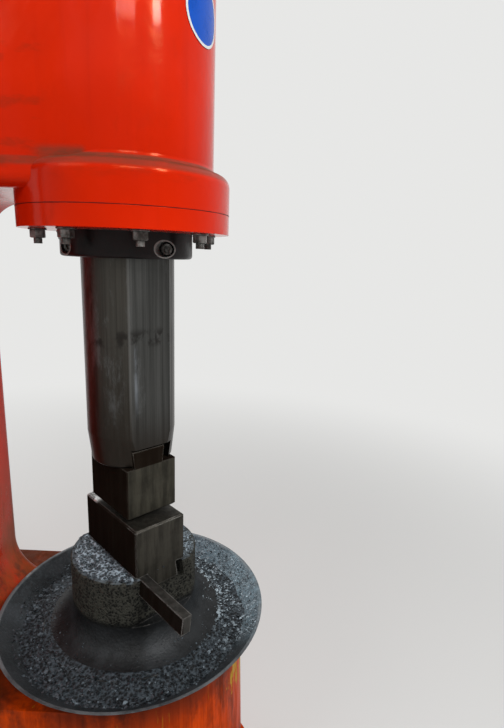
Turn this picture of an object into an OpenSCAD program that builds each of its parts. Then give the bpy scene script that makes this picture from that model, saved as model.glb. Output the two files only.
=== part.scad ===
/* [Working heights] */
// Floor to the top face of the lower die
die_top = 860; // [780:1:920]
// Gap left between the dies at rest, the thickness of the bar being forged
work_gap = 12; // [8:1:40]
// Room for the ram to rise from rest
stroke_up = 350; // [300:1:360]
// Room for the ram to fall from rest
stroke_down = 6; // [2:1:7]

/* [Dies] */
// Angle of the dies and of the ram flats to the frame
die_angle = 45; // [30:1:60]
// Width of the lower die across the dovetail
lower_die_w = 118; // [110:1:124]
// Width of the upper die across the dovetail
upper_die_w = 116; // [106:1:124]
// Length of the lower die
lower_die_l = 216; // [190:1:240]
// Height of the lower die over the anvil
lower_die_h = 105; // [90:1:120]
// Length of the upper die
upper_die_l = 156; // [140:1:180]
// Height of the upper die under the ram
upper_die_h = 108; // [90:1:120]
// Width of the lower die's tenon at its neck
lower_tenon_w = 70; // [62:1:74]
// Width of the upper die's tenon at its neck
upper_tenon_w = 65; // [58:1:68]
// Height of a dovetail tenon
tenon_h = 36; // [32:1:40]
// Slope of the dovetail flanks
tenon_slope = 7; // [4:1:10]
// Room under or over the end of a tenon
tenon_room = 3; // [1:0.5:4]
// How much lower than a tenon its key is
key_drop = 2; // [1:0.5:4]
// Shift of the lower tenon from the die centre
lower_tenon_off = 2; // [-2:1:4]
// Shift of the upper tenon from the die centre
upper_tenon_off = -7.5; // [-10:0.5:-5]
// Width of the lower key
lower_key_w = 20; // [14:1:20]
// Width of the upper key
upper_key_w = 20; // [16:1:22]
// Width of the packing strip across from the lower key
packing_w = 13; // [10:1:16]
// How far the lower key stands out of the anvil
key_out = 146; // [60:1:160]
// How far the upper key stands out behind the ram
upper_key_out = 40; // [20:1:60]
// How far the key and packing ends sit inside their slots
key_sink = 30; // [10:1:50]
// Radius of the die corners
die_round = 4; // [2:0.5:8]
// Chamfer round the striking faces
die_chamfer = 3; // [1:0.5:5]

/* [Ram] */
// Diameter of the ram
ram_d = 180; // [160:1:200]
// Distance across the ram's two guiding flats
ram_flats = 158; // [150:1:170]
// Height of the turned-down lower end
ram_end_h = 64; // [40:1:90]
// Diameter of the ram at its lowest edge
ram_end_d = 166; // [156:1:174]
// Height of the piston
piston_h = 105; // [80:1:120]
// Diameter of the piston and of the cylinder's bore
bore_d = 230; // [210:1:250]
// Running clearance of the ram and piston, on each side
ram_play = 0.5; // [0.4:0.1:0.8]
// Cushion left over and under the piston at the ends of its travel
cushion = 20; // [8:1:30]
// Width of a piston ring's groove
ring_w = 8; // [5:1:12]

/* [Gland and guide] */
// Diameter of the gland ring
gland_d = 251; // [230:1:270]
// Height of the gland ring
gland_h = 48; // [36:1:60]
// Radius of the gland's lower edge
gland_round = 6; // [3:1:10]
// Gap between the gland's two halves
gland_split = 1; // [0.4:0.2:2]
// Diameter of the counterbore for a gland screw
socket_d = 28; // [24:1:30]
// Distance of the counterbore's floor from the gland's middle plane
socket_floor_y = 56; // [52:1:62]
// Distance of the gland screws from the gland's axis, left and right
socket_x = 90; // [84:1:94]
// Height of the gland screws over the gland's underside
socket_z = 18; // [16:1:26]
// Diameter of a gland screw's head
screw_head_d = 20; // [16:1:22]
// Height of a gland screw's head
screw_head_h = 12; // [10:1:16]
// Thickness of the guide ring bolted under the cylinder
guide_ring_t = 36; // [28:1:44]
// Height of the guide sleeve inside the cylinder
guide_sleeve_h = 160; // [120:1:180]
// Diameter of the flange and of the guide ring
flange_d = 394; // [370:1:420]
// Height of the cylinder's own flange over the guide ring
flange_h = 72; // [56:1:84]
// Radius of the flange's upper edge
flange_round = 22; // [12:1:28]
// Radius of the fillet between flange and barrel
shoulder_round = 12; // [8:1:16]
// Seam between the flange and the guide ring
seam_gap = 0.3; // [0:0.1:0.8]
// Diameter of the circle of guide studs
stud_circle_d = 324; // [300:1:344]
// Diameter of a guide stud
stud_d = 16; // [12:1:20]
// Number of guide studs
stud_n = 8; // [6:2:10]

/* [Cylinders and head] */
// Diameter of the work cylinder's barrel, and width of the frame
barrel_d = 331; // [300:1:360]
// Height of the guide ring's underside over the lower die
guide_over_die = 581; // [540:1:620]
// Thickness of a cylinder head's flange
head_flange_t = 34; // [24:1:44]
// How far a cylinder head's flange stands out past the barrel
head_lip = 26; // [16:1:36]
// Height of the raised boss on a cylinder head
head_boss_h = 22; // [12:1:40]
// Thickness of the ribs on a cylinder head
head_rib_t = 14; // [8:1:20]
// How far the cylinder casting reaches behind its axis
tail_l = 205; // [190:1:230]
// Height of the arm's underside over the guide ring's underside
arm_over_guide = 60; // [45:1:70]
// Diameter of the compressor cylinder's head
comp_head_d = 400; // [360:1:440]
// Height of the compressor cylinder's round upper end
comp_neck_h = 170; // [120:1:220]
// Distance between the two cylinders
cyl_pitch = 620; // [560:1:680]

/* [Frame] */
// Throat, from the ram's axis to the column
throat = 355; // [320:1:380]
// Wall behind the compressor cylinder's head
rear_wall = 125; // [100:1:160]
// Radius of the throat's upper corner
throat_round = 88; // [60:1:120]
// Radius of the frame casting's outer edges
edge_round = 22; // [10:1:30]
// Radius of the column's foot
foot_round = 105; // [60:1:110]
// How far the frame's top lies under the barrel's top
frame_drop = 42; // [20:1:80]

/* [Base] */
// Height of the base's deck
base_h = 560; // [500:1:600]
// Width of the base at its deck
base_w = 490; // [460:1:540]
// Draft of the base's sides, in degrees
base_draft = 2; // [0:0.5:4]
// Thickness of the foot ledge
foot_t = 48; // [36:1:60]
// Width of the foot ledge
foot_out = 55; // [45:1:80]
// Radius of the ledge's rear corners
foot_corner = 60; // [40:1:90]
// Size of the sloped cove over the foot ledge
foot_cove = 12; // [6:1:18]
// Radius of the base's upright rear corners
base_corner = 40; // [20:1:60]
// Length of the base behind the motor
base_tail = 78; // [60:1:120]
// Depth of the cored pockets in the base's rear sides
pocket_deep = 24; // [12:1:40]
// Height of the cored pockets
pocket_h = 130; // [90:1:150]
// Height of the rear deck that carries the motor
rear_deck_h = 300; // [240:1:340]
// Diameter of an anchor hole
anchor_d = 34; // [24:1:40]
// Depth of the spot faces round the anchor holes
spot_deep = 3; // [1:0.5:5]
// Distance from the ram's axis back to the first anchor holes
anchor_first = 140; // [100:1:200]
// Number of anchor holes along each side
anchor_n = 4; // [3:1:5]
// Distance from the base's rear end to the last anchor holes
anchor_end = 140; // [100:1:180]
// Floor left under the anvil
well_floor = 60; // [40:1:100]

/* [Anvil and tray] */
// Diameter of the anvil's column
anvil_d = 273; // [250:1:290]
// Distance across the anvil's two flats
anvil_flats = 228; // [222:1:250]
// Diameter of the anvil's foot
anvil_foot_d = 402; // [380:1:420]
// Height of the anvil's column over its foot
anvil_col_h = 166; // [140:1:180]
// Clearance round the anvil's foot
well_play = 2; // [1:0.5:5]
// Diameter of the tray's rim
tray_d = 588; // [560:1:620]
// Diameter of the tray's floor
tray_floor_d = 470; // [460:1:485]
// Height of the tray
tray_h = 55; // [40:1:70]
// Thickness of the tray's sheet
tray_t = 5; // [3:0.5:8]
// Chamfer round the top of the anvil's column
anvil_chamfer = 4; // [2:0.5:8]

/* [Controls] */
// Diameter of a valve cover
valve_d = 170; // [140:1:190]
// Distance from the ram's axis back to the valve spindles
valve_back = 330; // [300:1:350]
// Height of the lower valve over the arm's underside
valve_low = 150; // [130:1:180]
// Distance between the two valves
valve_pitch = 290; // [260:1:330]
// Thickness of a valve cover
valve_t = 26; // [18:1:36]
// Height of the cast pad under the valve covers
valve_pad_t = 10; // [6:1:16]
// Diameter of a valve spindle
spindle_d = 34; // [28:1:40]
// Length of the hand lever
lever_l = 330; // [260:1:400]
// How far the hand lever points below level
lever_angle = 75; // [60:1:100]
// Diameter of the treadle's bar
treadle_bar_d = 34; // [28:1:40]
// Height of the treadle's bar over the floor
treadle_z = 140; // [110:1:180]
// Gap between the treadle and the base's foot
treadle_gap = 45; // [30:1:70]
// Distance from the ram's axis back to the treadle's pivots
treadle_back = 570; // [540:1:620]
// Angle at which the treadle's front bow ends, past straight ahead
treadle_end = 1; // [0:1:35]
// Length of the treadle's foot plate
pedal_l = 130; // [100:1:160]
// Thickness of the treadle bracket's cheeks
cheek_t = 14; // [10:1:18]
// Diameter of the treadle's pivot pin
treadle_pin_d = 24; // [18:1:30]
// Length of the lever's rear arm
rear_arm_l = 120; // [90:1:130]
// Thickness of the lever's arms
lever_arm_t = 22; // [16:1:28]
// Length of the lever's grip
grip_l = 115; // [90:1:140]
// Diameter of the lever's grip
grip_d = 32; // [26:1:38]
// Width of the lever's arms at the spindle
lever_arm_w = 34; // [28:1:40]
// Height of a spindle's boss on its cover
spindle_boss = 12; // [8:1:20]
// Diameter of the link rod
link_d = 20; // [16:1:24]

/* [Drive] */
// Height of the crankshaft over the floor
crank_z = 1080; // [1020:1:1140]
// Diameter of a crankcase door
door_d = 400; // [340:1:440]
// Thickness of a crankcase door
door_t = 24; // [16:1:32]
// Height of the cast ring under a crankcase door
door_ring_t = 14; // [8:1:20]
// Diameter of the bearing cap
bearing_d = 280; // [240:1:320]
// Thickness of the bearing cap
bearing_t = 45; // [32:1:60]
// Height of the cast boss behind the bearing cap
bearing_ring_t = 12; // [8:1:18]
// Diameter of the crankshaft's end
shaft_d = 75; // [60:1:90]
// Diameter of the flywheel
flywheel_d = 680; // [600:1:700]
// Width of the flywheel's rim
flywheel_w = 112; // [90:1:120]
// Thickness of the flywheel's rim
flywheel_rim = 46; // [36:1:60]
// Thickness of the flywheel's web
flywheel_web = 26; // [20:1:40]
// Diameter of the flywheel's hub
hub_d = 170; // [140:1:200]
// Diameter of the holes in the flywheel's web
web_hole_d = 120; // [80:1:130]
// Number of holes in the flywheel's web
web_hole_n = 6; // [4:1:7]
// Number of V-belts
belt_n = 4; // [3:1:5]
// Width of a V-belt
belt_w = 17; // [14:1:18]
// Height of a V-belt
belt_h = 11; // [9:1:13]
// Thickness of the band that joins the belts
belt_band = 3; // [2:0.5:4]
// Clearance of the belts in their grooves
belt_play = 0.4; // [0.3:0.1:0.8]
// Diameter of the motor pulley
pulley_d = 180; // [150:1:200]
// Height of the motor's shaft over its feet
motor_axis_h = 160; // [140:1:180]
// Diameter of the motor's body
motor_d = 290; // [250:1:300]
// Height of the motor's cooling fins
fin_h = 16; // [10:1:20]
// Number of cooling fins round the motor
fin_n = 40; // [28:1:48]
// Length of the motor's fan cowl
cowl_l = 70; // [50:1:90]
// Length of a motor end shield
shield_l = 42; // [30:1:50]
// Diameter of the motor's shaft
motor_shaft_d = 48; // [38:1:55]
// Gap between the motor and its pulley
pulley_gap = 70; // [66:1:90]
// Length of the motor's body
motor_l = 360; // [300:1:380]
// Height of the motor rails
rail_h = 34; // [24:1:44]
// Width of a motor rail
rail_w = 50; // [40:1:60]
// Length of a motor rail
rail_l = 380; // [340:1:420]
// Distance of the rails from the motor body's ends
rail_inset = 60; // [45:1:80]
// Height of the terminal box
term_h = 74; // [60:1:90]
// Length of the terminal box
term_l = 140; // [110:1:160]
// Width of the terminal box
term_w = 120; // [90:1:140]
// Thickness of the belt guard's sheet
guard_t = 4; // [3:0.5:6]
// Room inside the guard round the flywheel
guard_room = 34; // [24:1:40]
// Depth of the belt guard
guard_depth = 172; // [165:1:190]
// Height of the lifting eyes' rings over their seats
eye_h = 58; // [52:1:66]
// Radius of a lifting eye's ring
eye_r = 30; // [26:1:34]
// Thickness of a lifting eye's ring
eye_t = 20; // [16:1:22]

/* [Hidden] */
$fn = 96;

paint_red = [0.82, 0.13, 0.04];
paint_orange = [0.80, 0.24, 0.06];
dark_steel = [0.24, 0.23, 0.22];
bare_steel = [0.45, 0.44, 0.43];
black_steel = [0.10, 0.10, 0.11];
bronze = [0.60, 0.45, 0.22];
rubber_black = [0.06, 0.06, 0.06];
motor_grey = [0.35, 0.38, 0.40];

anvil_top = die_top - lower_die_h;
ledge_z = anvil_top - anvil_col_h;
cove_r = (anvil_foot_d - anvil_d) / 2;
cove_top = ledge_z + cove_r;
ram_bottom = die_top + work_gap + upper_die_h;
guide_z = die_top + guide_over_die;
gland_z = guide_z - gland_h;
seam_z = guide_z + guide_ring_t;
sleeve_top = seam_z + guide_sleeve_h;
piston_z = sleeve_top + stroke_down + cushion / 2;
ram_l = piston_z - ram_bottom;
barrel_z = seam_z + seam_gap;
barrel_top = piston_z + piston_h + stroke_up + cushion;
barrel_h = barrel_top - barrel_z;
arm_z = guide_z + arm_over_guide;
frame_top = barrel_top - frame_drop;
comp_x = -cyl_pitch;
col_front = -throat;
col_rear = comp_x - comp_head_d / 2 - rear_wall;
column_l = col_front - col_rear;
side_y = barrel_d / 2;
base_r_top = base_w / 2;
base_r_low = base_r_top + (base_h - foot_t) * tan(base_draft);
base_step_x = col_rear - 40;
well_r = anvil_foot_d / 2 + well_play;
bearing_x = col_rear - bearing_ring_t;
belt_plane_x = bearing_x - bearing_t - 18;
groove_pitch = flywheel_w / (belt_n + 0.5);
groove_low = belt_w / 2 - 2;
flywheel_x = belt_plane_x - flywheel_w;
motor_z = rear_deck_h + rail_h + motor_axis_h;
motor_x = flywheel_x - pulley_gap;
base_back = -(motor_x - motor_l - cowl_l) + base_tail;
anchor_last = base_back - anchor_end;
valve_low_z = arm_z + valve_low;
valve_high_z = valve_low_z + valve_pitch;
valve_y = side_y + valve_pad_t;
lever_face_y = valve_y + valve_t + spindle_boss;
door_y = side_y + door_ring_t;
treadle_y = base_r_low + foot_out + treadle_gap;
lower_x0 = lower_tenon_off - lower_tenon_w / 2;
lower_x1 = lower_tenon_off + lower_tenon_w / 2;
upper_x0 = upper_tenon_off - upper_tenon_w / 2;
upper_x1 = upper_tenon_off + upper_tenon_w / 2;
key_h = tenon_h - key_drop;
slot_h = tenon_h + tenon_room;

// Turns a shape into the frame of the dies: x across the dovetail, y along it
module die_frame() {
    rotate([0, 0, die_angle]) children();
}

// Dovetail bar along y: neck from x0 to x1 at z = 0, widening downwards over height h
module dovetail_bar(x0, x1, h, l) {
    flare = h * tan(tenon_slope);
    translate([0, l / 2, 0]) rotate([90, 0, 0]) linear_extrude(l)
        polygon([[x0, 0], [x1, 0], [x1 + flare, -h], [x0 - flare, -h]]);
}

// Key of constant lean between two dovetail flanks, side = -1 or 1
module flank_key(x0, w, h, side, y0, y1) {
    flare = side * h * tan(tenon_slope);
    translate([0, y1, 0]) rotate([90, 0, 0]) linear_extrude(y1 - y0)
        polygon([[x0, 0], [x0 + side * w, 0], [x0 + side * w + flare, -h], [x0 + flare, -h]]);
}

// Rectangle with four rounded corners
module round_rect(w, l, r) {
    polygon([for (k = [0 : 3], i = [0 : 4])
        let (a = 90 * k + i * 22.5, sx = (k == 0 || k == 3) ? 1 : -1, sy = k < 2 ? 1 : -1)
        [sx * (w / 2 - r) + r * cos(a), sy * (l / 2 - r) + r * sin(a)]]);
}

// Die block standing on z = 0, its upright edges rounded and its striking face chamfered
module die_block(w, l, h) {
    hull() {
        linear_extrude(h - die_chamfer) round_rect(w, l, die_round);
        linear_extrude(h) round_rect(w - 2 * die_chamfer, l - 2 * die_chamfer, die_round);
    }
}

// Section of the ram: a round with two flats, grown by the running clearance
module ram_section(grow) {
    intersection() {
        circle(d = ram_d + 2 * grow);
        square([2 * ram_d, ram_flats + 2 * grow], center = true);
    }
}

// Cutter for a rounded edge: the corner at the origin, the metal left of it and below it
module edge_bit(r) {
    difference() {
        translate([-r, -r]) square(r + 2);
        translate([-r, -r]) circle(r, $fn = 32);
    }
}

// Base casting with a round front, drafted sides, foot ledge and anvil well
module base_side(h) {
    r_cove = base_r_low + foot_cove;
    r_wall = base_r_low - foot_cove * tan(base_draft);
    r_deck = base_r_low - (h - foot_t) * tan(base_draft);
    z_cove = foot_t + foot_cove;
    polygon([[-r_cove, 0], [r_cove, 0], [r_cove, foot_t], [r_wall, z_cove],
        [r_deck, h], [-r_deck, h], [-r_wall, z_cove], [-r_cove, foot_t]]);
}
module base_foot() {
    w = base_r_low + foot_out;
    linear_extrude(foot_t) union() {
        circle(w);
        translate([-base_back + foot_corner, -w]) square([base_back - foot_corner, 2 * w]);
        translate([-base_back, -w + foot_corner]) square([foot_corner, 2 * (w - foot_corner)]);
        for (s = [-1, 1])
            translate([-base_back + foot_corner, s * (w - foot_corner)]) circle(foot_corner);
    }
}
module base_pockets() {
    pocket_z = (foot_t + foot_cove + rear_deck_h) / 2;
    pocket_l = base_back + base_step_x - 2 * foot_out - 60;
    mid_x = (base_step_x - base_back + foot_out) / 2;
    for (s = [-1, 1]) translate([mid_x, s * (base_r_low - pocket_deep), pocket_z])
        rotate([-90 * s, 0, 0]) linear_extrude(pocket_deep + 5) round_rect(pocket_l, pocket_h, pocket_h / 4);
}
module base() {
    r_wall = base_r_low - foot_cove * tan(base_draft);
    rear_x = foot_out - base_back;
    color(paint_orange) difference() {
        union() {
            base_foot();
            difference() {
                union() {
                    cylinder(h = foot_t, r = base_r_low + foot_cove);
                    translate([0, 0, foot_t])
                        cylinder(h = foot_cove, r1 = base_r_low + foot_cove, r2 = r_wall);
                    translate([0, 0, foot_t + foot_cove])
                        cylinder(h = base_h - foot_t - foot_cove, r1 = r_wall, r2 = base_r_top);
                    rotate([90, 0, -90]) linear_extrude(-base_step_x) base_side(base_h);
                    rotate([90, 0, -90]) linear_extrude(-rear_x) base_side(rear_deck_h);
                }
                for (s = [-1, 1]) scale([1, s, 1]) {
                    translate([rear_x, base_r_low, foot_t]) mirror([1, 0, 0])
                        linear_extrude(base_h) edge_bit(base_corner);
                    translate([base_step_x, base_r_top, rear_deck_h]) mirror([1, 0, 0])
                        linear_extrude(base_h) edge_bit(base_corner);
                }
            }
        }
        translate([0, 0, well_floor]) cylinder(h = base_h, r = well_r);
        base_pockets();
        for (i = [0 : anchor_n - 1], s = [-1, 1])
            translate([-anchor_first - i * (anchor_last - anchor_first) / (anchor_n - 1),
                s * (base_r_low + foot_out / 2), 0]) {
                translate([0, 0, -1]) cylinder(h = foot_t + 2, d = anchor_d, $fn = 32);
                translate([0, 0, foot_t - spot_deep]) cylinder(h = 2 * foot_cove, d = 1.5 * anchor_d, $fn = 48);
            }
    }
}

// Anvil: foot in the base's well, deep cove, round column with two flats and the dovetail slot
module anvil() {
    r_col = anvil_d / 2;
    color(dark_steel) difference() {
        union() {
            translate([0, 0, well_floor]) cylinder(h = ledge_z - well_floor, d = anvil_foot_d);
            rotate_extrude() difference() {
                translate([0, ledge_z - 1]) square([anvil_foot_d / 2, cove_r + 1]);
                translate([anvil_foot_d / 2, cove_top]) circle(cove_r, $fn = 64);
            }
            intersection() {
                translate([0, 0, cove_top - 1]) die_frame() linear_extrude(anvil_top - cove_top + 1)
                    square([2 * anvil_d, anvil_flats], center = true);
                rotate_extrude() polygon([[0, cove_top - 2], [r_col, cove_top - 2], [r_col, anvil_top - anvil_chamfer],
                    [r_col - anvil_chamfer, anvil_top], [0, anvil_top]]);
            }
        }
        translate([0, 0, anvil_top]) die_frame()
            dovetail_bar(lower_x0 - lower_key_w, lower_x1 + packing_w, slot_h, 2 * anvil_d);
    }
}

// Round scale tray lying on the base's deck
module scale_tray() {
    color(dark_steel) translate([0, 0, base_h]) rotate_extrude()
        polygon([[well_r, 0], [tray_floor_d / 2, 0], [tray_d / 2, tray_h],
            [tray_d / 2 - tray_t * 1.2, tray_h], [tray_floor_d / 2 - tray_t / 2, tray_t], [well_r, tray_t]]);
}

module lower_die() {
    color(bare_steel) die_frame() translate([0, 0, anvil_top]) union() {
        die_block(lower_die_w, lower_die_l, lower_die_h);
        dovetail_bar(lower_x0, lower_x1, tenon_h, lower_die_l);
    }
}
module lower_key() {
    color(bare_steel) die_frame() translate([0, 0, anvil_top])
        flank_key(lower_x0, lower_key_w, key_h, -1, -anvil_flats / 2 - key_out, anvil_flats / 2 - key_sink);
}
module lower_packing() {
    color(dark_steel) die_frame() translate([0, 0, anvil_top])
        flank_key(lower_x1, packing_w, key_h, 1, key_sink - anvil_flats / 2, anvil_flats / 2 - key_sink);
}

// Ram: rod with two flats and a tapered end, grooved piston on top, dovetail slot below
module piston() {
    r = bore_d / 2 - ram_play;
    pitch = piston_h / 4;
    rotate_extrude($fn = 72) polygon(concat([[0, 0], [r - 3, 0], [r, 3]],
        [for (i = [1 : 3], p = [[0, -1], [-ring_w, -1], [-ring_w, 1], [0, 1]])
            [r + p[0], i * pitch + p[1] * ring_w / 2]],
        [[r, piston_h - 3], [r - 3, piston_h], [0, piston_h]]));
}
module ram() {
    end_chamfer = 4;
    color(dark_steel) difference() {
        union() {
            translate([0, 0, ram_bottom]) cylinder(h = end_chamfer, d1 = ram_end_d - 2 * end_chamfer, d2 = ram_end_d);
            translate([0, 0, ram_bottom + end_chamfer])
                cylinder(h = ram_end_h - end_chamfer, d1 = ram_end_d, d2 = ram_d);
            translate([0, 0, ram_bottom + ram_end_h]) cylinder(h = ram_l - ram_end_h + 1, d = ram_d);
            translate([0, 0, piston_z]) piston();
        }
        die_frame() for (s = [-1, 1])
            translate([-ram_d, s * ram_flats / 2 + (s < 0 ? -ram_d : 0), ram_bottom - 1])
                cube([2 * ram_d, ram_d, ram_l + 1]);
        translate([0, 0, ram_bottom]) die_frame() mirror([0, 0, 1])
            dovetail_bar(upper_x0, upper_x1 + upper_key_w, slot_h, 2 * ram_d);
    }
}
module upper_die() {
    color(bare_steel) die_frame() translate([0, 0, ram_bottom]) mirror([0, 0, 1]) union() {
        die_block(upper_die_w, upper_die_l, upper_die_h);
        dovetail_bar(upper_x0, upper_x1, tenon_h, upper_die_l);
    }
}
module upper_key() {
    color(dark_steel) die_frame() translate([0, 0, ram_bottom]) mirror([0, 0, 1])
        flank_key(upper_x1, upper_key_w, key_h, 1, key_sink - upper_die_l / 2, ram_flats / 2 + upper_key_out);
}

// Half of the gland ring, side = -1 near, 1 far
module gland_half(side) {
    color(black_steel) difference() {
        translate([0, 0, gland_z]) rotate_extrude() union() {
            square([gland_d / 2 - gland_round, gland_h]);
            translate([0, gland_round]) square([gland_d / 2, gland_h - gland_round]);
            translate([gland_d / 2 - gland_round, gland_round]) circle(gland_round, $fn = 32);
        }
        translate([0, 0, gland_z - 1]) die_frame() linear_extrude(gland_h + 2) ram_section(ram_play);
        translate([-gland_d, side > 0 ? gland_split / 2 - 2 * gland_d : -gland_split / 2, gland_z - 1])
            cube([2 * gland_d, 2 * gland_d, gland_h + 2]);
        for (x = [-socket_x, socket_x]) translate([x, side * socket_floor_y, gland_z + socket_z])
            rotate([-90 * side, 0, 0]) cylinder(h = gland_d, d = socket_d);
    }
}
module gland_near() gland_half(-1);
module gland_far() gland_half(1);

// Socket screws of the gland, seated in their counterbores
module gland_screws() {
    hex_d = 0.55 * screw_head_d / cos(30);
    color(bare_steel) for (side = [-1, 1], x = [-socket_x, socket_x])
        translate([x, side * socket_floor_y, gland_z + socket_z]) rotate([-90 * side, 0, 0]) difference() {
            cylinder(h = screw_head_h, d = screw_head_d);
            translate([0, 0, screw_head_h / 2]) cylinder(h = screw_head_h, d = hex_d, $fn = 6);
        }
}

// Guide: ring under the cylinder with a sleeve inside its bore
module ram_guide() {
    color(paint_red) difference() {
        union() {
            translate([0, 0, guide_z]) cylinder(h = guide_ring_t, d = flange_d);
            translate([0, 0, guide_z]) cylinder(h = sleeve_top - guide_z, d = bore_d - 2 * ram_play);
        }
        translate([0, 0, guide_z - 1]) die_frame()
            linear_extrude(guide_ring_t + guide_sleeve_h + 2) ram_section(ram_play);
    }
}

// Studs and nuts that hold the guide ring
module guide_studs() {
    nut_h = 0.8 * stud_d;
    nut_r = 1.5 * stud_d / 2 / cos(30);
    color(bare_steel) for (i = [0 : stud_n - 1]) rotate([0, 0, (i + 0.5) * 360 / stud_n])
        translate([stud_circle_d / 2, 0, guide_z]) mirror([0, 0, 1]) {
            cylinder(h = nut_h, r = nut_r, $fn = 6);
            cylinder(h = nut_h + 0.6 * stud_d, d = stud_d, $fn = 32);
        }
}

// Work cylinder casting: flange, barrel and the flat-sided tail that meets the frame
module work_cylinder() {
    r_f = flange_d / 2;
    lip_r = side_y + head_lip;
    color(paint_red) difference() {
        union() {
            translate([0, 0, barrel_z]) rotate_extrude() union() {
                square([side_y, barrel_h]);
                square([r_f, flange_h - flange_round]);
                square([r_f - flange_round, flange_h]);
                translate([r_f - flange_round, flange_h - flange_round]) circle(flange_round, $fn = 48);
                translate([side_y, flange_h]) difference() {
                    square(shoulder_round);
                    translate([shoulder_round, shoulder_round]) circle(shoulder_round, $fn = 48);
                }
                translate([0, barrel_h - head_flange_t]) square([lip_r, head_flange_t]);
                polygon([[side_y - 1, barrel_h - head_flange_t - head_lip], [lip_r, barrel_h - head_flange_t],
                    [side_y - 1, barrel_h - head_flange_t]]);
            }
            difference() {
                translate([-tail_l, -side_y, arm_z]) cube([tail_l, barrel_d, frame_top - arm_z]);
                for (s = [-1, 1]) scale([1, s, 1]) {
                    long_edge(-tail_l - 1, 0, frame_top, 1);
                    long_edge(-tail_l - 1, 0, arm_z, -1);
                }
            }
        }
        translate([0, 0, barrel_z - 1]) cylinder(h = barrel_h + 2, d = bore_d);
    }
}

// Cylinder head: flange, ribbed boss and plug
module head(d, boss_d) {
    rib_l = (d - boss_d) / 2 + 5;
    cylinder(h = head_flange_t, d = d);
    translate([0, 0, head_flange_t - 1]) cylinder(h = head_boss_h + 1, d1 = boss_d, d2 = boss_d - head_lip);
    for (i = [0 : 7]) rotate([0, 0, i * 45 + 22.5]) translate([boss_d / 2 - 8, head_rib_t / 2, head_flange_t - 1])
        rotate([90, 0, 0]) linear_extrude(head_rib_t) polygon([[-20, 0], [rib_l * 0.45, 0], [-4, head_boss_h], [-20, head_boss_h]]);
    translate([0, 0, head_flange_t + head_boss_h - 1]) cylinder(h = head_boss_h, d = 46, $fn = 6);
}
module cylinder_head() {
    color(paint_red) translate([0, 0, barrel_top]) head(barrel_d + 2 * head_lip, bore_d + 20);
}
module compressor_head() {
    color(paint_red) translate([comp_x, 0, frame_top]) head(comp_head_d, comp_head_d - 120);
}

// Side outline of the frame casting: column, throat and head in one
module frame_outline() {
    union() {
        translate([col_rear, base_h]) square([column_l, frame_top - base_h]);
        translate([col_rear, arm_z]) square([-tail_l - col_rear, frame_top - arm_z]);
        translate([col_front, arm_z - throat_round]) difference() {
            square(throat_round);
            translate([throat_round, 0]) circle(throat_round);
        }
        translate([col_front, base_h]) difference() {
            square(foot_round);
            translate([foot_round, foot_round]) circle(foot_round);
        }
    }
}

// Cutter for an edge along x from x0 to x1 at height z, top = 1 for an upper edge and -1 for a lower one
module long_edge(x0, x1, z, top) {
    translate([x0, side_y, z]) scale([1, 1, top]) rotate([90, 0, 90]) linear_extrude(x1 - x0) edge_bit(edge_round);
}
// Cutter round a concave corner of the outline, its radius r, its centre at x and z
module corner_edge(x, z, r, start) {
    translate([x, 0, z]) rotate([90, 0, 0]) rotate([0, 0, start]) rotate_extrude(angle = 90)
        translate([r, side_y]) mirror([1, 0]) edge_bit(edge_round);
}
module frame_edges() {
    for (s = [-1, 1]) scale([1, s, 1]) {
        long_edge(col_front + throat_round, -tail_l + 1, arm_z, -1);
        long_edge(col_rear - 1, -tail_l + 1, frame_top, 1);
        translate([col_front, side_y, base_h + foot_round])
            linear_extrude(arm_z - throat_round - base_h - foot_round) edge_bit(edge_round);
        corner_edge(col_front + throat_round, arm_z - throat_round, throat_round, 90);
        corner_edge(col_front + foot_round, base_h + foot_round, foot_round, 180);
        translate([col_rear, side_y, base_h - 1]) mirror([1, 0, 0])
            linear_extrude(frame_top - base_h + 2) edge_bit(edge_round);
    }
    translate([col_rear, -side_y - 1, frame_top]) mirror([1, 0, 0]) rotate([90, 0, 180])
        mirror([1, 0, 0]) linear_extrude(barrel_d + 2) edge_bit(edge_round);
}
module frame() {
    neck_d = comp_head_d - 16;
    mid_z = (valve_low_z + valve_high_z) / 2;
    color(paint_red) union() {
        difference() {
            translate([0, side_y, 0]) rotate([90, 0, 0]) linear_extrude(barrel_d) frame_outline();
            frame_edges();
        }
        translate([comp_x, 0, frame_top - comp_neck_h]) cylinder(h = comp_neck_h, d = neck_d);
        translate([comp_x, 0, frame_top - comp_neck_h - neck_d / 4])
            cylinder(h = neck_d / 4, d1 = barrel_d - 6, d2 = neck_d);
        for (s = [-1, 1]) {
            translate([comp_x, s * (side_y - 1), crank_z]) rotate([-90 * s, 0, 0])
                cylinder(h = door_ring_t + 1, d = door_d + 30);
            translate([-valve_back, s * (side_y - 1), mid_z]) rotate([-90 * s, 0, 0])
                linear_extrude(valve_pad_t + 1) hull() for (t = [-1, 1])
                    translate([0, t * valve_pitch / 2]) circle(d = valve_d + 26, $fn = 64);
        }
        translate([col_rear + edge_round, 0, crank_z]) rotate([0, -90, 0])
            cylinder(h = bearing_ring_t + edge_round, d = bearing_d + 24);
    }
}

// Round cover of a rotary valve with its spindle boss
module valve_cover(z, side) {
    translate([-valve_back, side * valve_y, z]) rotate([-90 * side, 0, 0]) {
        cylinder(h = valve_t - 8, d = valve_d);
        cylinder(h = valve_t, d = valve_d * 0.6);
        translate([0, 0, valve_t - 1]) cylinder(h = spindle_boss + 1, d = 1.9 * spindle_d, $fn = 48);
    }
}
module upper_valve_near() { color(paint_red) valve_cover(valve_high_z, -1); }
module lower_valve_near() { color(paint_red) valve_cover(valve_low_z, -1); }
module upper_valve_far() { color(paint_red) valve_cover(valve_high_z, 1); }
module lower_valve_far() { color(paint_red) valve_cover(valve_low_z, 1); }

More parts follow.
